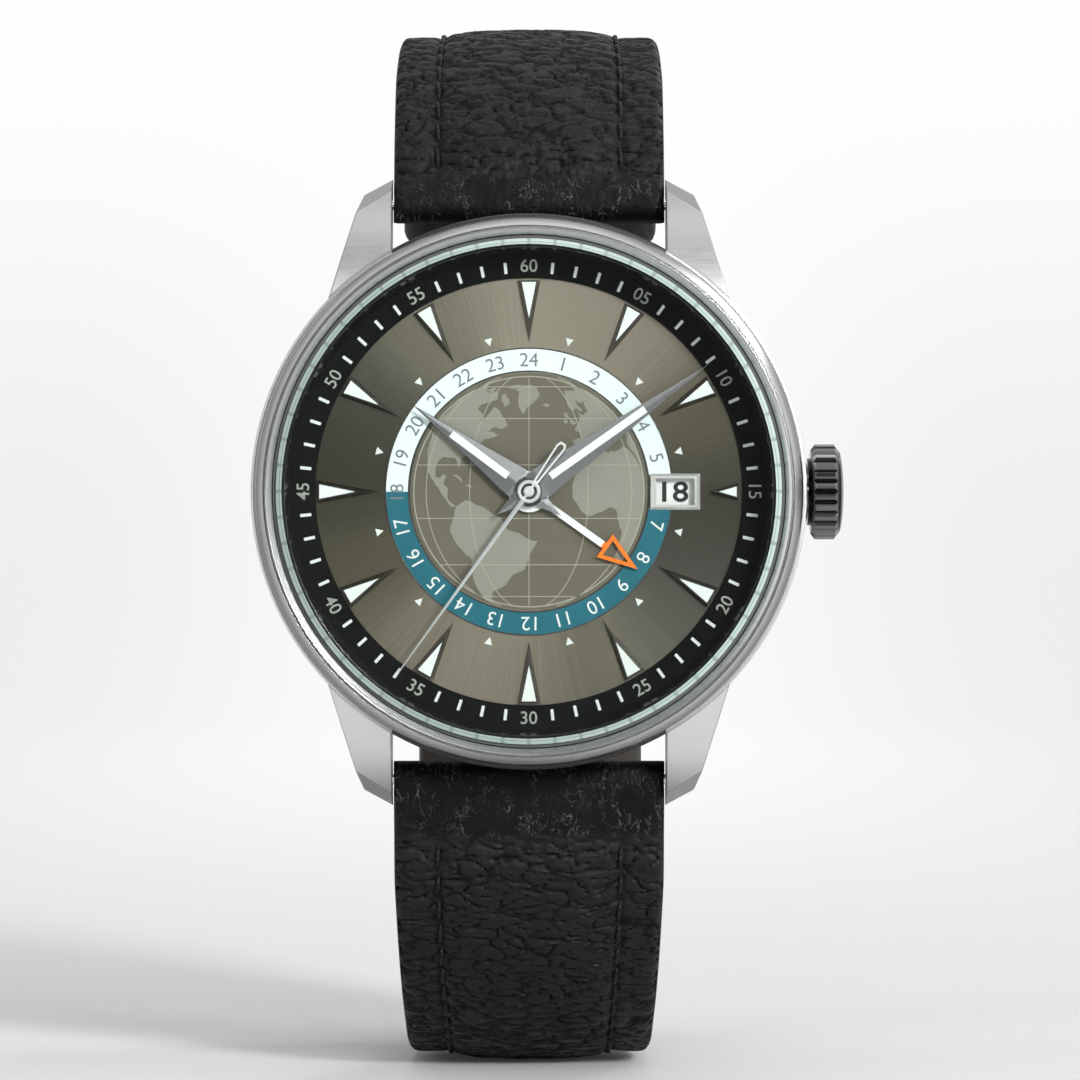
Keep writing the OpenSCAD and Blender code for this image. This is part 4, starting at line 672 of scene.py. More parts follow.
MIRROR = polished_steel("mirror_steel", srgb(222, 223, 225), 0.1)
CROWN_STEEL = fluted_steel()
CASE_STEEL = case_steel("case_satin_steel", srgb(232, 233, 235))
BEZEL_STEEL = circular_steel("bezel_steel", srgb(196, 196, 198), 0.27, painted_shade_rim=(19.2, 19.7))
BACK_STEEL = circular_steel("case_back_steel", srgb(208, 209, 211), 0.24)
HAND_STEEL = polished_steel("hand_steel", srgb(184, 184, 186), 0.16, 0.00002)
FRAME_STEEL = polished_steel("date_frame_steel", srgb(226, 226, 222), 0.3, 0.00002, 0.6)
MARKER_STEEL = polished_steel("marker_steel", srgb(138, 136, 133), 0.18, 0.00002)
SECONDS_STEEL = polished_steel("seconds_hand_steel", srgb(226, 227, 228), 0.35, 0.00002, 0.35)
WORK_STEEL = polished_steel("work_steel_grey", srgb(176, 177, 181), 0.22, 0.00003)
ROTOR_STEEL = striped_nickel("rotor_stripes", srgb(206, 206, 208), 1.5, -0.5)
BRIDGE_NICKEL = striped_nickel("bridge_stripes", srgb(214, 210, 202), 1.25, 0.6)
PLATE_NICKEL = spotted_nickel("plate_spots", srgb(205, 202, 194))
GILT = gilt_brass("gilt_brass", srgb(222, 186, 104))
BLUED = gilt_brass("blued_steel", srgb(52, 76, 150), 0.24)
RUBY = mottled("jewel_ruby", srgb(150, 8, 40), srgb(214, 24, 70), 1500.0, 2.0, Roughness=0.05, IOR=1.76,
               Transmission_Weight=0.55)
RUBBER = mottled("seal_rubber_black", srgb(18, 18, 19), srgb(34, 34, 35), 2400.0, rough=(0.2, 0.5),
                 relief=0.00001, Specular_IOR_Level=0.3)
SEAL_GREY = lacquer("seal_grey_nylon", srgb(86, 88, 90), 0.5, 0.1)
GLASS = clear_sapphire("clear_sapphire")
BEVEL_PAINTED_LIGHT = ground_edge()
DIAL = sunburst_dial()
RING_BLACK = lacquer("ring_black_lacquer", srgb(8, 11, 9), 0.5, 0.0, specular=0.05)
LUME = lacquer("luminous_paint", srgb(246, 250, 247), 0.6, 0.0)
DATE_WHITE = lacquer("date_disc_white", srgb(252, 252, 250), 0.45, 0.1, 0.01)
HAND_WHITE = two_tone_hand()
INK_WHITE = lacquer("white_ink", srgb(240, 243, 240), 0.5, 0.0)
INK_GREY = lacquer("grey_ink", srgb(120, 124, 128), 0.5, 0.0)
INK_PALE = lacquer("pale_ink", srgb(178, 178, 170), 0.5, 0.0)
INK_BLACK = lacquer("black_ink", srgb(14, 14, 16), 0.45, 0.0)
BAND_WHITE = lacquer("band_white", srgb(240, 252, 252), 0.4, 0.2, 0.01)
BAND_TEAL = lacquer("band_teal", srgb(4, 102, 118), 0.4, 0.1, 0.05)
LAND = lacquer("land_print", srgb(144, 142, 130), 0.5, 0.1, 0.04, 0.1)
SEA = lacquer("sea_print", srgb(100, 95, 80), 0.5, 0.1, 0.04, 0.15)
GRID = lacquer("grid_print", srgb(168, 164, 150), 0.5, 0.0, 0.03, 0.1)
LEATHER = grained_leather("strap_leather_black", srgb(1, 1, 2), srgb(25, 25, 27), folded=True)
KEEPER_LEATHER = grained_leather("keeper_leather", srgb(9, 9, 10), srgb(30, 30, 32), 0.00004)
LINING = lining_leather()
EDGE_PAINT = lacquer("strap_edge_paint", srgb(28, 28, 29), 0.5, 0.2, 0.1)
THREAD = waxed_thread()


# STRAP

def strap_place(legs, s, dive):
    """Point (outward, height) and heading after a run s along the strap's legs, from its spring bar."""
    y, z, heading = BAR_Y, BAR_Z, dive
    for i, (length, radius) in enumerate(legs):
        run = s if i == len(legs) - 1 or s < length else length
        turn = run / radius if radius else 0.0
        if radius:
            y += radius * (math.sin(heading + turn) - math.sin(heading))
            z += radius * (math.cos(heading + turn) - math.cos(heading))
        else:
            y += run * math.cos(heading)
            z -= run * math.sin(heading)
        heading += turn
        s -= run
        if s <= 0:
            break
    return y, z, heading


def along(stops, s):
    """A value from (run, value) stops, with straight steps between them."""
    if s <= stops[0][0]:
        return stops[0][1]
    for (s0, v0), (s1, v1) in zip(stops, stops[1:]):
        if s <= s1:
            return v0 + (v1 - v0) * (s - s0) / (s1 - s0)
    return stops[-1][1]


class StrapHalf:
    """The shape of one half of the strap: its path, its widths and its padding."""

    def __init__(self, legs, dive, side, length, widths, pads, fold, tapered):
        self.legs, self.dive, self.side, self.length = legs, dive, side, length
        self.widths, self.pads, self.fold, self.tapered = widths, pads, fold, tapered
        self.sewn = fold + 0.8

    def sizes(self, s):
        """Width, thickness and edge thickness after a run s."""
        t = along(self.pads, s)
        width = along(self.widths, s)
        if self.tapered and s > self.length - TIP_L:
            u = min(1.0, (s - self.length + TIP_L) / TIP_L)
            width = TAIL_W * max(0.12, math.sqrt(max(0.0, 1 - u * u)))
        return width, t, min(t, along(((0, END_T), (self.fold + 1, max(EDGE_T, t - EDGE_DROP))), s))

    def point(self, s, x, up):
        """A point in dial coordinates at a height above the strap's lining."""
        y, z, heading = strap_place(self.legs, s, self.dive)
        o = up - self.sizes(s)[1] / 2
        return Vector((x, self.side * (y + o * math.sin(heading)), z + o * math.cos(heading)))

    def top(self, s, x):
        """Height of the outer side above the lining: a padded middle between two sewn channels."""
        width, t, e = self.sizes(s)
        half = width / 2
        k = min(1.0, half / 9)
        inner = half - STITCH_IN * k
        a = abs(x)
        up = e
        if a < inner and inner > 1:
            up += (t - e) * (1 - (a / inner) ** 3) ** 0.7
        rounding = 0.8 * k
        if a > half - rounding:
            up -= rounding * (1 - math.sqrt(max(0.0, 1 - ((a - half + rounding) / rounding) ** 2)))
        channel = 0.2 * k * math.exp(-((a - inner) / 0.36) ** 2) * min(1.0, max(0.0, (s - self.fold) / 1.5))
        pucker = 1 + 0.5 * math.cos(math.tau * (s - self.sewn) / STITCH_PITCH)
        return up - channel * pucker


def pebble(x, s, seed):
    """Height of the grain, from 0 in a crease to 1 on a pebble; the pebbles are wider across the strap."""
    drift = noise.noise_vector(Vector((x * 0.4, s * 0.7, seed)))
    fine = noise.noise_vector(Vector((x * 1.6, s * 2.6, seed + 4)))
    near = noise.voronoi(Vector((x * 0.42 + 0.6 * drift.x + 0.07 * fine.x, s * 1.35 + 0.6 * drift.y + 0.12 * fine.y,
                                 seed + 0.4 * drift.z)))[0]
    cell = min(1.0, max(0.0, (near[1] - near[0]) / 0.16)) ** 0.6
    wrinkle = abs(noise.noise(Vector((x * 0.5 + drift.y, s * 2.2 + 1.2 * drift.x, seed + 11))))
    return cell * (0.8 + 0.2 * min(1.0, wrinkle / 0.1))


def strap_columns(count=116):
    """Places across the strap from -1 to 1, with more of them on the rounded edges."""
    places = [-1 + 2 * i / count for i in range(count + 1)]
    places += [sign * v for sign in (-1, 1) for v in (0.998, 0.99, 0.968, 0.955)]
    return sorted(set(round(p, 4) for p in places))


def strap_mesh(name, half, fine=0.17, coarse=0.3, seen=34.0):
    """The closed leather of one half: outside, edges, lining and the folds at its ends."""
    columns = strap_columns()
    under = [1 - 2 * i / 16 for i in range(17)]
    points, uvs, tags, grain = [], [], [], []
    rows = int(seen / fine)
    runs = [(seen * i / rows, 1.0) for i in range(rows)]
    rows = int((half.length - seen) / coarse)
    runs += [(seen + (half.length - seen) * i / rows, 1.0) for i in range(rows + 1)]
    fold = [math.radians(a) for a in (12, 22, 32, 43, 54, 66, 78)]
    runs = [(-END_T / 2 * math.cos(a), math.sin(a)) for a in fold] + runs
    if not half.tapered:
        runs += [(half.length + TAIL_T / 2 * math.cos(a), math.sin(a)) for a in reversed(fold)]
    ring = len(columns) + len(under) + 4
    for s, share in runs:
        run = min(max(s, 0.0), half.length)
        width, t, e = half.sizes(run)
        w = width / 2
        y, z, heading = strap_place(half.legs, s, half.dive)
        sin, cos = math.sin(heading), math.cos(heading)

        def place(x, up):
            o = (up - t / 2) * share
            return (x, half.side * (y + o * sin), z + o * cos)

        full = min(1.0, max(0.12, (s - half.fold + 0.6) / 1.6))
        if half.tapered:
            full = min(full, max(0.3, (half.length - s) / 2))
        for c in columns:
            x = c * w
            up = half.top(run, x)
            g = 0.5
            if abs(c) < 0.985:
                g = pebble(x, s, 3.0 + 5 * half.side)
                near_seam = math.exp(-((abs(x) - w + STITCH_IN) / 0.4) ** 2)
                depth = GRAIN_DEPTH * full * (1 - 0.5 * near_seam)
                up += depth * (g - 1) + 0.07 * full * noise.noise(Vector((x * 0.7, s * 0.9, 9.0)))
                if s < half.fold + 1:
                    up += 0.08 * noise.noise(Vector((x * 1.9, s * 0.35, half.side * 3.0))) * min(1.0, max(0.0, s + 1))
            points.append(place(x, up))
            uvs.append((x, s - half.fold))
            grain.append(g)
        for sign in (1, -1):
            for up in (0.3 * e, 0.1 * e) if sign > 0 else (0.1 * e, 0.3 * e):
                points.append(place(sign * w * (1 if up > 0.2 * e else 0.985), up))
                uvs.append((sign * (w + e - up), s))
                grain.append(0.5)
            if sign > 0:
                for c in under:
                    points.append(place(c * w * 0.965, 0.0))
                    uvs.append((c * w + 40, s))
                    grain.append(0.5)
    faces = []
    mid = len(columns)
    for i in range(len(runs) - 1):
        for j in range(ring):
            a, b = i * ring + j, i * ring + (j + 1) % ring
            faces.append((a, b, b + ring, a + ring))
            tags.append(0 if j < mid - 1 else 1 if mid + 1 < j < mid + 1 + len(under) else 2)
    last = (len(runs) - 1) * ring
    faces.append(tuple(range(ring))[::-1])
    faces.append(tuple(last + j for j in range(ring)))
    tags += [0, 0]
    if half.side > 0:
        faces = [f[::-1] for f in faces]
    return dial_mesh(name, points, faces, uvs, tags, grain)


def cut_out(obj, cutter):
    """Cuts a (points, faces) solid in dial coordinates out of a piece."""
    tool = bpy.data.objects.new("cutter", dial_mesh("cutter", *cutter))
    bpy.context.scene.collection.objects.link(tool)
    modifier = obj.modifiers.new("cut", "BOOLEAN")
    modifier.operation = "DIFFERENCE"
    modifier.solver = "EXACT"
    modifier.object = tool
    graph = bpy.context.evaluated_depsgraph_get()
    cut = bpy.data.meshes.new_from_object(obj.evaluated_get(graph), depsgraph=graph)
    obj.modifiers.remove(modifier)
    old, obj.data = obj.data, cut
    cut.name = old.name
    bpy.data.meshes.remove(old)
    bpy.data.objects.remove(tool)


def peg(centre, direction, radius, length, slot=(0, 0, 0), sides=32):
    """A round cutter through a point, drawn out both ways along a slot."""
    direction, slot = Vector(direction).normalized(), Vector(slot)
    across = slot.normalized() if slot.length else direction.orthogonal().normalized()
    over = direction.cross(across)
    points, faces = [], []
    for end in (-1, 1):
        for k in range(sides):
            a = math.tau * (k + 0.5) / sides
            shift = slot if math.cos(a) > 0 else -slot
            points.append(Vector(centre) + direction * end * length / 2 + shift
                          + radius * (math.cos(a) * across + math.sin(a) * over))
    for k in range(sides):
        b = (k + 1) % sides
        faces.append((k, b, b + sides, k + sides))
    return points, faces + [tuple(range(sides))[::-1], tuple(range(sides, 2 * sides))]


def block(low, high):
    """A square cutter between two corners."""
    points = [(x, y, z) for x in (low[0], high[0]) for y in (low[1], high[1]) for z in (low[2], high[2])]
    return points, [(0, 1, 3, 2), (4, 6, 7, 5), (0, 4, 5, 1), (2, 3, 7, 6), (0, 2, 6, 4), (1, 5, 7, 3)]


def stitches(half, end, inside=False):
    """Two rows of separate stitches, each a short waxed thread that dips into its holes."""
    parts = []
    pitch = STITCH_PITCH
    count = int((end - half.sewn) / pitch)
    for sign in (-1, 1):
        for i in range(count):
            s0 = half.sewn + pitch * i
            path = []
            for j in range(9):
                u = j / 8
                s = s0 + 0.22 + (pitch - 0.44) * u
                width = half.sizes(s)[0]
                x = sign * (width / 2 - STITCH_IN * min(1.0, width / 18)) + 0.11 * (0.5 - u)
                lift = -0.3 + 0.48 * math.sin(math.pi * u) ** 0.4
                up = 0.02 - lift if inside else half.top(s, x) + lift
                path.append(half.point(s, x, up))
            parts.append(tube(path, 0.17, 7))
    return joined(parts)


UPPER = StrapHalf(LEGS_UP, DIVE_UP, 1, LEN_UP,
                  ((0, STRAP_W), (12, STRAP_W), (28, STRAP_W - 0.8), (50, TAIL_W)),
                  ((0, END_T), (1.4, END_T + 0.1), (4.4, PAD_T), (22, PAD_T - 0.4), (43, TAIL_T)), 1.5, False)
LOWER = StrapHalf(LEGS_DOWN, DIVE_DOWN, -1, LEN_DOWN,
                  ((0, STRAP_W), (8, STRAP_W), (24, TAIL_W + 0.7), (36, TAIL_W + 0.3), (55, TAIL_W)),
                  ((0, END_T), (3.6, END_T + 0.1), (6.2, PAD_T), (32, PAD_T - 0.4), (70, TAIL_T)), 3.8, True)


def strap_pieces():
    """Both halves of the strap, bored and punched, with their stitches."""
    faces = (LEATHER, LINING, EDGE_PAINT)

    def bore(y, z, radius):
        """A cutter for a bar across the strap."""
        return peg((0, y, z), (1, 0, 0), radius, BORE_L)

    upper = piece("strap_upper_leather", strap_mesh("strap_upper_leather", UPPER), "case", faces)
    cut_out(upper, joined((bore(BAR_Y, BAR_Z, STRAP_BORE), bore(0, -LOOP_DEPTH, BUCKLE_BORE))))
    cut_out(upper, block((-1.05, -3, -LOOP_DEPTH - 3), (1.05, 1.6, -LOOP_DEPTH + 3)))
    lower = piece("strap_lower_leather", strap_mesh("strap_lower_leather", LOWER), "case", faces)
    cutters = [bore(-BAR_Y, BAR_Z, STRAP_BORE)]
    used = LEN_DOWN - TAIL_RUN - FLAT_UP + HOLE_MID
    for i in range(-3, 4):
        y, z, heading = strap_place(LEGS_DOWN, used + HOLE_PITCH * i, DIVE_DOWN)
        out = (0, -math.sin(heading), math.cos(heading))
        slot = 0.7 * Vector((0, -math.cos(heading), -math.sin(heading))) if i == 0 else (0, 0, 0)
        cutters.append(peg((0, -y, z), out, HOLE_R, 6, slot))
    cut_out(lower, joined(cutters))
    for obj, node in ((upper, "strap_upper"), (lower, "strap_lower")):
        obj.data.shade_smooth()
        obj.data.set_sharp_from_angle(angle=math.radians(62))
        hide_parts(node)
    for name, half, end in (("strap_upper_stitches", UPPER, LEN_UP - 4.5),
                            ("strap_lower_stitches", LOWER, LEN_DOWN - 8)):
        rows = joined([stitches(half, end, inside) for inside in (False, True)])
        printed(name, rows, THREAD, crease=60)


def keeper_band(place, width, uv_turn):
    """A leather loop: place turns (across, up from the strap's middle, along) into dial coordinates."""
    half, low, high, t, corner = KEEPER_HALF, KEEPER_LOW, KEEPER_HIGH, KEEPER_T, KEEPER_CORNER
    ring = []
    for cx, cy, start in ((half - corner, high - corner, 0), (-half + corner, high - corner, 90),
                          (-half + corner, low + corner, 180), (half - corner, low + corner, 270)):
        for i in range(9):
            a = math.radians(start + 90 * i / 8)
            ring.append((cx, cy, math.cos(a), math.sin(a)))
    filled = []
    for (x0, y0, a0, b0), (x1, y1, _, _) in zip(ring, ring[1:] + ring[:1]):
        filled.append((x0, y0, a0, b0))
        gap = math.hypot(x1 - x0, y1 - y0)
        for k in range(1, int(gap / 0.3)):
            u = k / int(gap / 0.3)
            filled.append((x0 + (x1 - x0) * u, y0 + (y1 - y0) * u, a0, b0))
    section = [(width * u, t * v) for u, v in (
        (0.04, 0.0), (0.5, 0.0), (0.96, 0.0), (1.0, 0.12), (1.0, 0.7), (0.96, 0.88), (0.86, 0.98),
        (0.68, 1.0), (0.5, 1.02), (0.32, 1.0), (0.14, 0.98), (0.04, 0.88), (0.0, 0.7), (0.0, 0.12))]
    points, uvs, faces, grain, n, run = [], [], [], [], len(section), 0.0
    for i, (x, y, a, b) in enumerate(filled):
        if i:
            run += math.hypot(x + corner * a - filled[i - 1][0] - corner * filled[i - 1][2],
                              y + corner * b - filled[i - 1][1] - corner * filled[i - 1][3])
        for u, v in section:
            g = pebble(u + uv_turn, run, 20.0) if v > 0.8 * t else 0.5
            rise = v - 0.06 * (1 - g)
            points.append(place(x + (corner + rise) * a, y + (corner + rise) * b, u))
            uvs.append((u * 1.4 + uv_turn, run))
            grain.append(g)
    count = len(filled)
    for i in range(count):
        for j in range(n):
            a, b = i * n, (i + 1) % count * n
            faces.append((a + j, a + (j + 1) % n, b + (j + 1) % n, b + j))
    return points, faces, uvs, grain


def keeper_pieces():
    """The fixed keeper behind the buckle and the free one farther round."""
    def fixed(x, up, s):
        return (x, FIXED_KEEPER_Y + s, -LOOP_DEPTH - up)

    def free(x, up, s):
        a = FREE_KEEPER_TURN + s / BACK_R_UP
        r = BACK_R_UP + up
        return (x, FLAT_UP + r * math.sin(a), BACK_R_UP - LOOP_DEPTH - r * math.cos(a))

    for name, node, body, place, turn in (("fixed_keeper_leather", "fixed_keeper", "case", fixed, 0.0),
                                          ("free_keeper_leather", "free_keeper", "keeper", free, 30.0)):
        points, faces, uvs, grain = keeper_band(place, KEEPER_W, turn)
        mesh = dial_mesh(name, points, faces, uvs, grain=grain)
        obj = piece(name, mesh, body, (KEEPER_LEATHER,), 50)
        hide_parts(node)


strap_pieces()
keeper_pieces()


# CRYSTAL

def crystal_piece():
    """The crystal, with its bevel in a finish of its own that paints the light the bevel catches."""
    top = CRYSTAL_Z + CRYSTAL_T
    rings = ((CRYSTAL_R - CRYSTAL_BEVEL, top), (CRYSTAL_R - CRYSTAL_BEVEL * 0.5, top - CRYSTAL_BEVEL * 0.42),
             (CRYSTAL_R, top - CRYSTAL_BEVEL), (CRYSTAL_R, CRYSTAL_Z))
    steps = 240
    points, faces, tags = [], [], []
    for r, z in rings:
        points += [(r * math.cos(math.tau * i / steps), r * math.sin(math.tau * i / steps), z) for i in range(steps)]
    for ring in range(len(rings) - 1):
        for i in range(steps):
            a, b = ring * steps + i, ring * steps + (i + 1) % steps
            faces.append((a, a + steps, b + steps, b))
            tags.append(1)
    faces.append(tuple(range(steps)))
    faces.append(tuple((len(rings) - 1) * steps + i for i in reversed(range(steps))))
    tags += [0, 0]
    obj = piece("crystal_glass", dial_mesh("crystal_glass", points, faces, tags=tags), "case",
                (GLASS, BEVEL_PAINTED_LIGHT), 20)
    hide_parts("crystal")


crystal_piece()


# DIAL PRINTS

COASTS = (
    # North and Central America, as longitude and latitude by turns
    (-168, 66, -156, 71, -141, 70, -128, 70, -108, 68, -95, 72, -85, 69, -82, 67, -87, 64, -94, 61, -93, 58,
     -88, 57, -82, 55, -80, 51, -78, 55, -77, 60, -78, 62, -70, 61, -65, 58, -61, 56, -56, 52, -60, 50, -67, 50,
     -70, 47, -65, 48, -61, 46, -66, 44, -70, 43, -71, 41, -74, 40, -76, 37, -76, 35, -81, 31, -80, 26, -82, 28,
     -84, 30, -89, 30, -94, 29, -97, 26, -97, 22, -95, 18, -91, 19, -90, 21, -87, 21, -88, 16, -84, 15, -83, 10,
     -80, 9, -77, 8, -80, 7, -85, 10, -91, 14, -96, 16, -105, 20, -109, 25, -113, 31, -110, 24, -117, 33, -121, 36,
     -124, 40, -124, 48, -131, 55, -140, 60, -150, 60, -160, 56),
    # South America
    (-77, 8, -72, 12, -62, 10, -52, 5, -50, 0, -44, -2, -35, -6, -39, -14, -41, -22, -48, -26, -53, -34, -58, -38,
     -62, -40, -65, -45, -68, -50, -69, -55, -74, -52, -74, -42, -72, -30, -70, -18, -76, -14, -81, -5, -79, 1),
    # Africa
    (-17, 15, -16, 20, -13, 27, -9, 31, -6, 35, -2, 35, 10, 37, 11, 33, 20, 31, 30, 31, 33, 28, 37, 21, 39, 15,
     43, 12, 51, 12, 48, 5, 41, -2, 39, -7, 40, -15, 35, -22, 32, -28, 27, -34, 19, -34, 15, -27, 12, -17, 13, -9,
     9, -1, 9, 4, 4, 6, -5, 5, -8, 4, -13, 9),
    # Europe and the near part of Asia
    (-5, 36, -9, 37, -9, 43, -2, 43, -1, 46, -4, 48, 2, 51, 8, 54, 9, 57, 11, 54, 20, 55, 24, 59, 30, 60, 22, 61,
     22, 65, 25, 66, 17, 61, 16, 57, 12, 56, 11, 59, 6, 58, 5, 62, 14, 68, 28, 71, 40, 67, 55, 69, 70, 72, 70, 45,
     60, 26, 50, 30, 42, 37, 36, 37, 27, 37, 26, 40, 22, 37, 19, 41, 13, 45, 16, 41, 18, 40, 16, 38, 10, 44, 3, 43,
     0, 39),
    # Arabia
    (35, 31, 36, 27, 39, 21, 43, 13, 52, 17, 59, 23, 56, 26, 48, 30, 42, 34),
    # Greenland, Iceland, the British islands, northern islands and the Caribbean
    (-73, 78, -60, 82, -30, 83, -18, 80, -22, 72, -32, 68, -40, 65, -44, 60, -50, 64, -54, 69, -58, 75),
    (-24, 65, -18, 66.5, -14, 65, -19, 63.5),
    (-5, 50, 1, 51, 0, 53, -3, 56, -2, 58, -5, 58.5, -6, 56, -3, 54, -5, 52),
    (-10, 52, -6, 52.5, -6, 55, -9, 54.5),
    (-80, 73, -70, 70, -62, 66, -66, 63, -73, 66, -82, 70),
    (-115, 73, -105, 73, -102, 69, -115, 69),
    (-90, 80, -70, 83, -65, 82, -78, 77, -90, 77),
    (-84, 22, -77, 20.5, -75, 20, -80, 23),
    (-74, 19.5, -69, 19, -71, 18),
    (49, -12, 50, -16, 47, -25, 44, -22, 44, -16),
)
GLOBE_LON, GLOBE_LAT = -39, 19


def globe_point(lon, lat):
    """A place on the globe as seen from above the Atlantic, held at the limb if it lies behind."""
    lon, lat, tilt = math.radians(lon - GLOBE_LON), math.radians(lat), math.radians(GLOBE_LAT)
    x = math.cos(lat) * math.sin(lon)
    y = math.sin(lat) * math.cos(tilt) - math.cos(lat) * math.sin(tilt) * math.cos(lon)
    depth = math.sin(lat) * math.sin(tilt) + math.cos(lat) * math.cos(tilt) * math.cos(lon)
    reach = math.hypot(x, y)
    if depth < 0 or reach > LIMB:
        x, y = x / max(reach, 1e-6) * LIMB, y / max(reach, 1e-6) * LIMB
    return x * GLOBE_R, y * GLOBE_R


def coast_outline(coast, index):
    """A coastline with small bays between its points."""
    outline = []
    places = list(zip(coast[::2], coast[1::2]))
    for (lon, lat), (lon1, lat1) in zip(places, places[1:] + places[:1]):
        parts = max(1, int(math.hypot(lon1 - lon, lat1 - lat) / 2.2))
        for k in range(parts):
            u = k / parts
            shift = 0.9 * noise.noise(Vector((lon + (lon1 - lon) * u, lat + (lat1 - lat) * u, index * 3.1)) * 0.35)
            x, y = globe_point(lon + (lon1 - lon) * u + shift, lat + (lat1 - lat) * u + shift)
            if not outline or math.hypot(x - outline[-1][0], y - outline[-1][1]) > 0.05:
                outline.append((x, y))
    return outline


def line_strip(points, width):
    """The closed outline of a line of a width through points."""
    left, right = [], []
    for i, p in enumerate(points):
        a, b = points[max(i - 1, 0)], points[min(i + 1, len(points) - 1)]
        d = math.hypot(b[0] - a[0], b[1] - a[1])
        nx, ny = -(b[1] - a[1]) / d * width / 2, (b[0] - a[0]) / d * width / 2
        left.append((p[0] + nx, p[1] + ny))
        right.append((p[0] - nx, p[1] - ny))
    return left + right[::-1]


def globe_pieces():
    """Sea, land and a plain grid, each a layer above the last."""
    printed("globe_sea_print", outline_solid([circle(GLOBE_R, 120), circle(AXIS_HOLE, 48)], DIAL_TOP), SEA)
    layer = DIAL_TOP + PRINT
    coasts = [coast_outline(coast, index) for index, coast in enumerate(COASTS)]
    printed("globe_land_print", joined([outline_solid([c], layer) for c in coasts if len(c) > 3]), LAND)
    paths = []
    for lat in (-62, -38, -13, 13, 38, 62):
        y = GLOBE_R * math.sin(math.radians(lat))
        x = math.sqrt((GLOBE_R * LIMB) ** 2 - y * y)
        paths.append([(-x, y), (0, y), (x, y)])
    for lon in (-60, -30, 0, 30, 60):
        if lon:
            paths.append([(GLOBE_R * math.cos(math.radians(a)) * math.sin(math.radians(lon)),
                           GLOBE_R * math.sin(math.radians(a))) for a in range(-74, 75, 4)])
        else:
            paths += [[(0, -8.25), (0, -1.3)], [(0, 1.3), (0, 8.25)]]
    outlines = [[line_strip(path, 0.06)] for path in paths]
    outlines.append([circle(GLOBE_R * 0.975, 120), circle(GLOBE_R * LIMB, 120)])
    lines = [outline_solid(outline, layer + PRINT, PRINT / 2) for outline in outlines]
    printed("globe_grid_print", joined(lines), GRID)


def band_half(low, high, upper):
    """Half of the twenty-four hour band, cut straight where the date frame crosses it."""
    gate = 1.2

    def end_angle(r):
        return 90 - math.degrees(math.asin(gate / r))

    if upper:
        return arc(high, 270, 360 + end_angle(high), 90) + arc(low, 360 + end_angle(low), 270, 90)
    return arc(high, 180 - end_angle(high), 270, 90) + arc(low, 270, 180 - end_angle(low), 90)


def band_pieces():
    """The band of twenty-four hours with its rims and numbers, and the triangles outside it."""
    printed("band_day_print", outline_solid([band_half(BAND_IN, BAND_OUT, True)], DIAL_TOP), BAND_WHITE)
    printed("band_night_print", outline_solid([band_half(BAND_IN, BAND_OUT, False)], DIAL_TOP), BAND_TEAL)
    rims = [outline_solid([band_half(low, high, upper)], DIAL_TOP, 0.03)
            for low, high in ((BAND_IN - 0.1, BAND_IN), (BAND_OUT, BAND_OUT + 0.08)) for upper in (True, False)]
    printed("band_rims", joined(rims), HAND_STEEL)
    day, night = [], []
    for hour in [*range(1, 6), *range(7, 25)]:
        clock = hour * 15
        mark = (str(hour), *on_circle((BAND_IN + BAND_OUT) / 2, clock), math.radians(-clock))
        (day if hour <= 5 or hour >= 18 else night).append(mark)
    layer = DIAL_TOP + PRINT
    printed("band_day_numbers", numbers(day, 0.98, layer), INK_GREY)
    printed("band_night_numbers", numbers(night, 0.98, layer), INK_WHITE)
    marks = [outline_solid([[on_circle(11.45, clock - 1.45), on_circle(11.45, clock + 1.45),
                             on_circle(10.9, clock)]], DIAL_TOP) for clock in range(15, 360, 30)]
    printed("half_hour_triangles", joined(marks), INK_WHITE)


def minute_ring_pieces():
    """Strokes and numbers printed on the slope of the minute ring."""
    def slope(r):
        inner, outer = 15.47, 17.15
        return DIAL_TOP + 0.16 + 0.14 * (r - inner) / (outer - inner)

    low, high, half_width = 15.84, 16.64, 0.11
    strokes = []
    for minute in range(60):
        if minute % 5 == 0:
            continue
        x, y = on_circle(1, minute * 6)
        points = [(x * r - y * half_width * k, y * r + x * half_width * k, slope(r) + lift)
                  for lift in (-0.02, 0.012) for r, k in ((low, -1), (high, -1), (high, 1), (low, 1))]
        strokes.append((points, [(3, 2, 1, 0), (4, 5, 6, 7), (0, 1, 5, 4), (1, 2, 6, 5), (2, 3, 7, 6), (3, 0, 4, 7)]))
    printed("minute_strokes", joined(strokes), INK_WHITE)
    marks = []
    for minute in range(0, 60, 5):
        upright = math.radians(-minute * 6) + (math.pi if 15 < minute < 45 else 0.0)
        marks.append((f"{minute or 60:02d}", *on_circle(16.36, minute * 6), upright))
    printed("minute_numbers", numbers(marks, 0.92, slope(16.85) + 0.005, 0.004), INK_PALE)


def date_pieces():
    """The thirty-one dates on their ring, upright where the window shows them."""
    marks = []
    for day in range(1, 32):
        a = math.tau * (18 - day) / 31
        marks.append((str(day), DATE_AT * math.cos(a), DATE_AT * math.sin(a), a))
    printed("date_numbers", numbers(marks, 1.5, DATE_TOP, 0.018, 1.16), INK_BLACK, "calendar")


globe_pieces()
band_pieces()
minute_ring_pieces()
date_pieces()


# FINISHES OF THE CARRIED-OVER PIECES

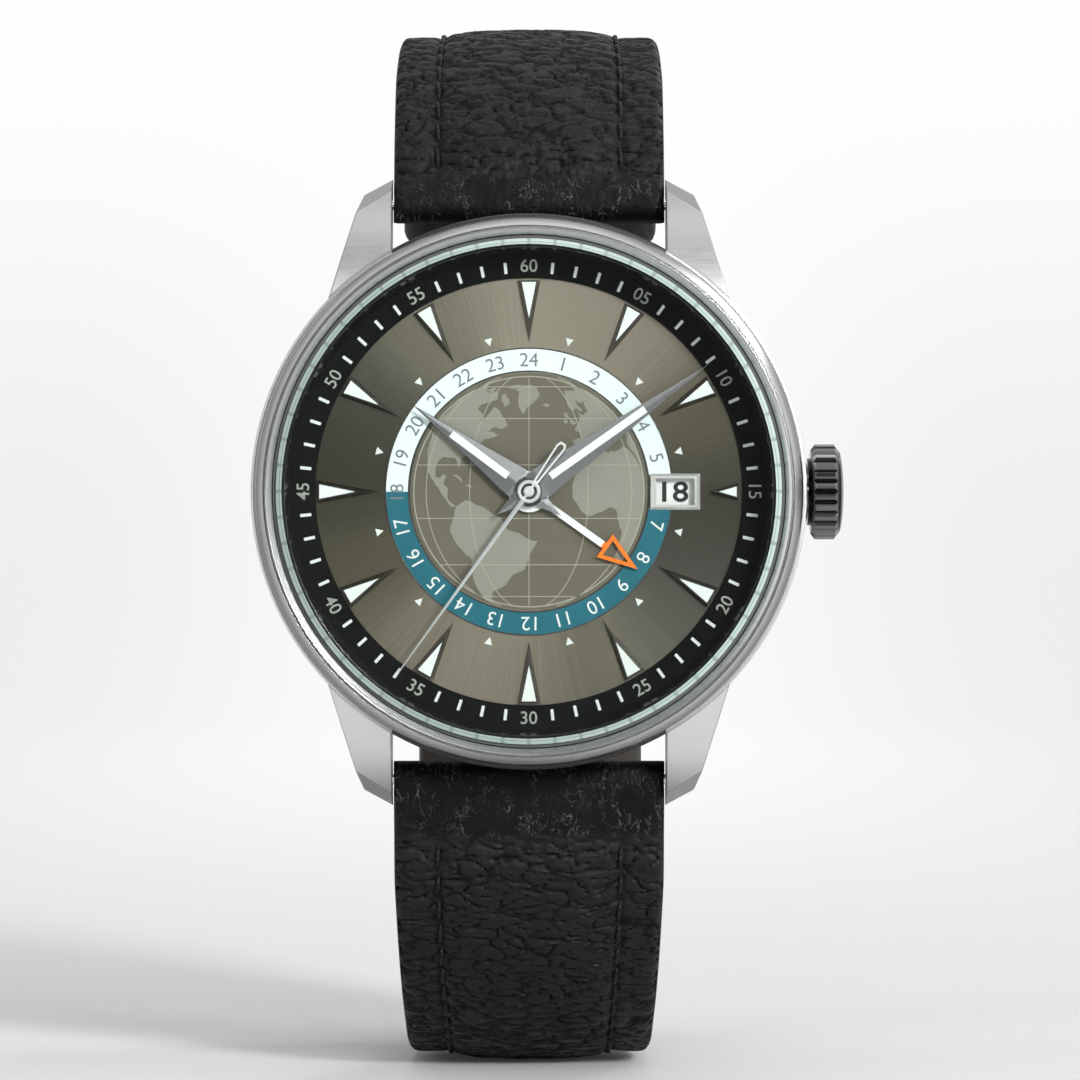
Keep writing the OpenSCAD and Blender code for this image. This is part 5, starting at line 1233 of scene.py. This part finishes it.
FINISHES = (
    (CASE_STEEL, "mid_case"), (BEZEL_STEEL, "bezel"), (BACK_STEEL, "case_back"), (CROWN_STEEL, "crown"),
    (GLASS, "crystal back_crystal"), (SEAL_GREY, "crystal_gasket"), (RUBBER, "back_gasket crown_gasket"),
    (MIRROR, "crown_tube spring_bars buckle_frame buckle_tongue"), (DIAL, "dial"), (RING_BLACK, "chapter_ring"),
    (MARKER_STEEL, "hour_markers"), (LUME, "marker_lume hour_hand_lume minute_hand_lume"),
    (FRAME_STEEL, "date_frame"), (HAND_STEEL, "hour_hand minute_hand"), (SECONDS_STEEL, "seconds_hand"),
    (HAND_WHITE, "gmt_hand"), (DATE_WHITE, "date_ring"), (PLATE_NICKEL, "mainplate"),
    (BRIDGE_NICKEL, "barrel_bridge train_bridge balance_cock automatic_bridge"), (ROTOR_STEEL, "rotor"),
    (WORK_STEEL, "movement_ring winding_stem rotor_bearing mainspring ratchet_wheel crown_wheel escape_wheel"
                 " pallet_fork cannon_pinion winding_pinion sliding_pinion setting_lever"),
    (GILT, "reverser_wheel barrel centre_wheel third_wheel fourth_wheel balance_wheel minute_wheel hour_wheel"
           " gmt_wheel date_wheel"),
    (BLUED, "hairspring bridge_screws"), (RUBY, "jewels"), (LEATHER, "strap_upper strap_lower"),
    (KEEPER_LEATHER, "fixed_keeper free_keeper"),
)
for finish, node_names in FINISHES:
    for node_name in node_names.split():
        for material_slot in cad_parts[node_name].material_slots:
            material_slot.material = finish


# STAGE, LIGHT AND CAMERA

PAPER_FADE = 0.45  # metres behind the watch over which the floor turns from paper to glow
MIRROR_END = -0.12  # nearer the camera than this, the crystal doesn't mirror the floor


def stage_white():
    """White paper: it keeps the shadow of the watch, and shows white to the camera and in reflections,
    with painted shade that greys its glow low down to both sides.
    """
    material, net = shader("white_paper", Roughness=0.9, Specular_IOR_Level=0.1)
    place = net.place()
    net.end_with(Base_Color=net.blend(net.noise(place, 900.0), srgb(236, 236, 236), srgb(242, 242, 242)))
    path = net.outputs("LightPath")
    mirrored = net.calc("MAXIMUM", path["Is Glossy Ray"], path["Is Transmission Ray"])
    seen = net.calc("MAXIMUM", path["Is Camera Ray"], mirrored)
    x, depth, z = net.split(place)
    near = net.calc("DIVIDE", PAPER_FADE, net.calc("MAXIMUM", depth, 0.0) + PAPER_FADE)
    far = net.soft_step(near, 0.9, 0.36, 0.02, 1.0)
    # painted shade: the glow is greyer on the floor and low backdrop to either side of the watch
    corner = net.soft_step(z, 0.14, -0.02) * net.soft_step(abs(x), 0.0, 0.13)
    glow = net.add("Emission", Color=net.blend(corner, srgb(254, 254, 254), srgb(238, 238, 238)), Strength=1.0)
    lit = net.feed("MixShader", seen * far, Wire(net, net.end.outputs[0]), glow)
    passed = path["Is Glossy Ray"] * (depth < MIRROR_END)
    net.surface(net.feed("MixShader", passed, lit, net.add("BsdfTransparent")))
    return material


def stage():
    """Floor that curves up into a backdrop far behind the watch."""
    strap = bpy.data.objects["strap_lower_leather"]
    floor_z = min((strap.matrix_world @ v.co).z for v in strap.data.vertices)
    front, bend_y, bend_r, top, half_width = -1.2, 0.9, 0.4, 2.4, 2.0
    profile = [(front, 0.0), (bend_y, 0.0)]
    profile += [(bend_y + bend_r * math.sin(math.radians(a)), bend_r - bend_r * math.cos(math.radians(a)))
                for a in range(6, 91, 6)]
    profile.append((bend_y + bend_r, top))
    points = [(x, y, floor_z + z) for x in (-half_width, half_width) for y, z in profile]
    n = len(profile)
    mesh = bpy.data.meshes.new("paper")
    mesh.from_pydata(points, [], [(i, i + 1, n + i + 1, n + i) for i in range(n - 1)])
    mesh.materials.append(stage_white())
    mesh.shade_smooth()
    paper = bpy.data.objects.new("paper", mesh)
    bpy.context.scene.collection.objects.link(paper)


def lights():
    """Five soft lamps, each (name, place, target, size, watts), and a studio to be mirrored."""
    middle = (0.0, 0.0, 0.0)
    for name, place, target, size, power in (
            ("right_front_softbox", (0.47, -0.95, 0.36), middle, (0.2, 0.2), 9.8),
            ("left_softbox", (-0.75, -0.42, 0.12), middle, (0.3, 0.75), 1.2),
            ("right_softbox", (0.8, -0.25, 0.1), middle, (0.3, 0.75), 2.2),
            ("floor_softbox", (0.5, 0.4, 0.45), (-0.04, 0.1, -0.04), (0.25, 0.25), 0.9),
            ("top_softbox", (0.0, 0.15, 0.9), middle, (0.6, 0.4), 1.3)):
        data = bpy.data.lights.new(name, "AREA")
        data.shape = "RECTANGLE"
        data.size, data.size_y = size
        data.energy = power
        obj = bpy.data.objects.new(name, data)
        obj.location = place
        obj.rotation_euler = (Vector(target) - Vector(place)).to_track_quat("-Z", "Y").to_euler()
        bpy.context.scene.collection.objects.link(obj)
    world = bpy.data.worlds.new("studio")
    bpy.context.scene.world = world
    world.use_nodes = True
    net = Net(world.node_tree, world.node_tree.nodes["Background"])
    x, y, z = net.split(net.add("TexCoord", "Generated"))

    def grey(level):
        return level, level, level, 1

    levels = ((-1.0, 0.4), (-0.62, 0.35), (-0.5, 0.75), (-0.27, 0.75), (-0.14, 0.07), (0.14, 0.07), (0.27, 0.8),
              (0.48, 0.8), (0.58, 0.08), (0.85, 0.08), (1.0, 0.5))
    screen = net.ramp(z * 0.5 + 0.5, [(place / 2 + 0.5, grey(level)) for place, level in levels], smooth=False)
    beside = net.soft_step(abs(x), 0.5, 0.8)
    behind = net.soft_step(y * -1.0, 0.75, 0.35)
    paper = net.ramp(net.soft_step(x, -0.4, 0.3), ((0.0, grey(0.6)), (1.0, grey(0.97))))
    room = net.blend(net.calc("MAXIMUM", beside, behind), screen, paper)
    path = net.outputs("LightPath")
    mirrored = net.calc("MAXIMUM", path["Is Glossy Ray"], path["Is Transmission Ray"])
    net.end_with(Color=net.blend(path["Is Camera Ray"], net.blend(mirrored, grey(0.34), room),
                                 srgb(248, 248, 248)))


def camera():
    """Straight in front of the dial, at the photograph's distance."""
    data = bpy.data.cameras.new("camera")
    obj = bpy.data.objects.new("camera", data)
    bpy.context.scene.collection.objects.link(obj)
    distance, across, sensor = 0.45, 0.0783, 36.0
    data.sensor_width = sensor
    data.lens = sensor * distance / across
    data.clip_start, data.clip_end = 0.01, 10.0
    obj.location = Vector((0.0008, -DIAL_TOP * MM, -0.0035)) - Vector((0, distance, 0))
    obj.rotation_euler = (math.pi / 2, 0, 0)
    bpy.context.scene.camera = obj


stage()
lights()
camera()
bpy.context.scene.view_settings.view_transform = "Standard"
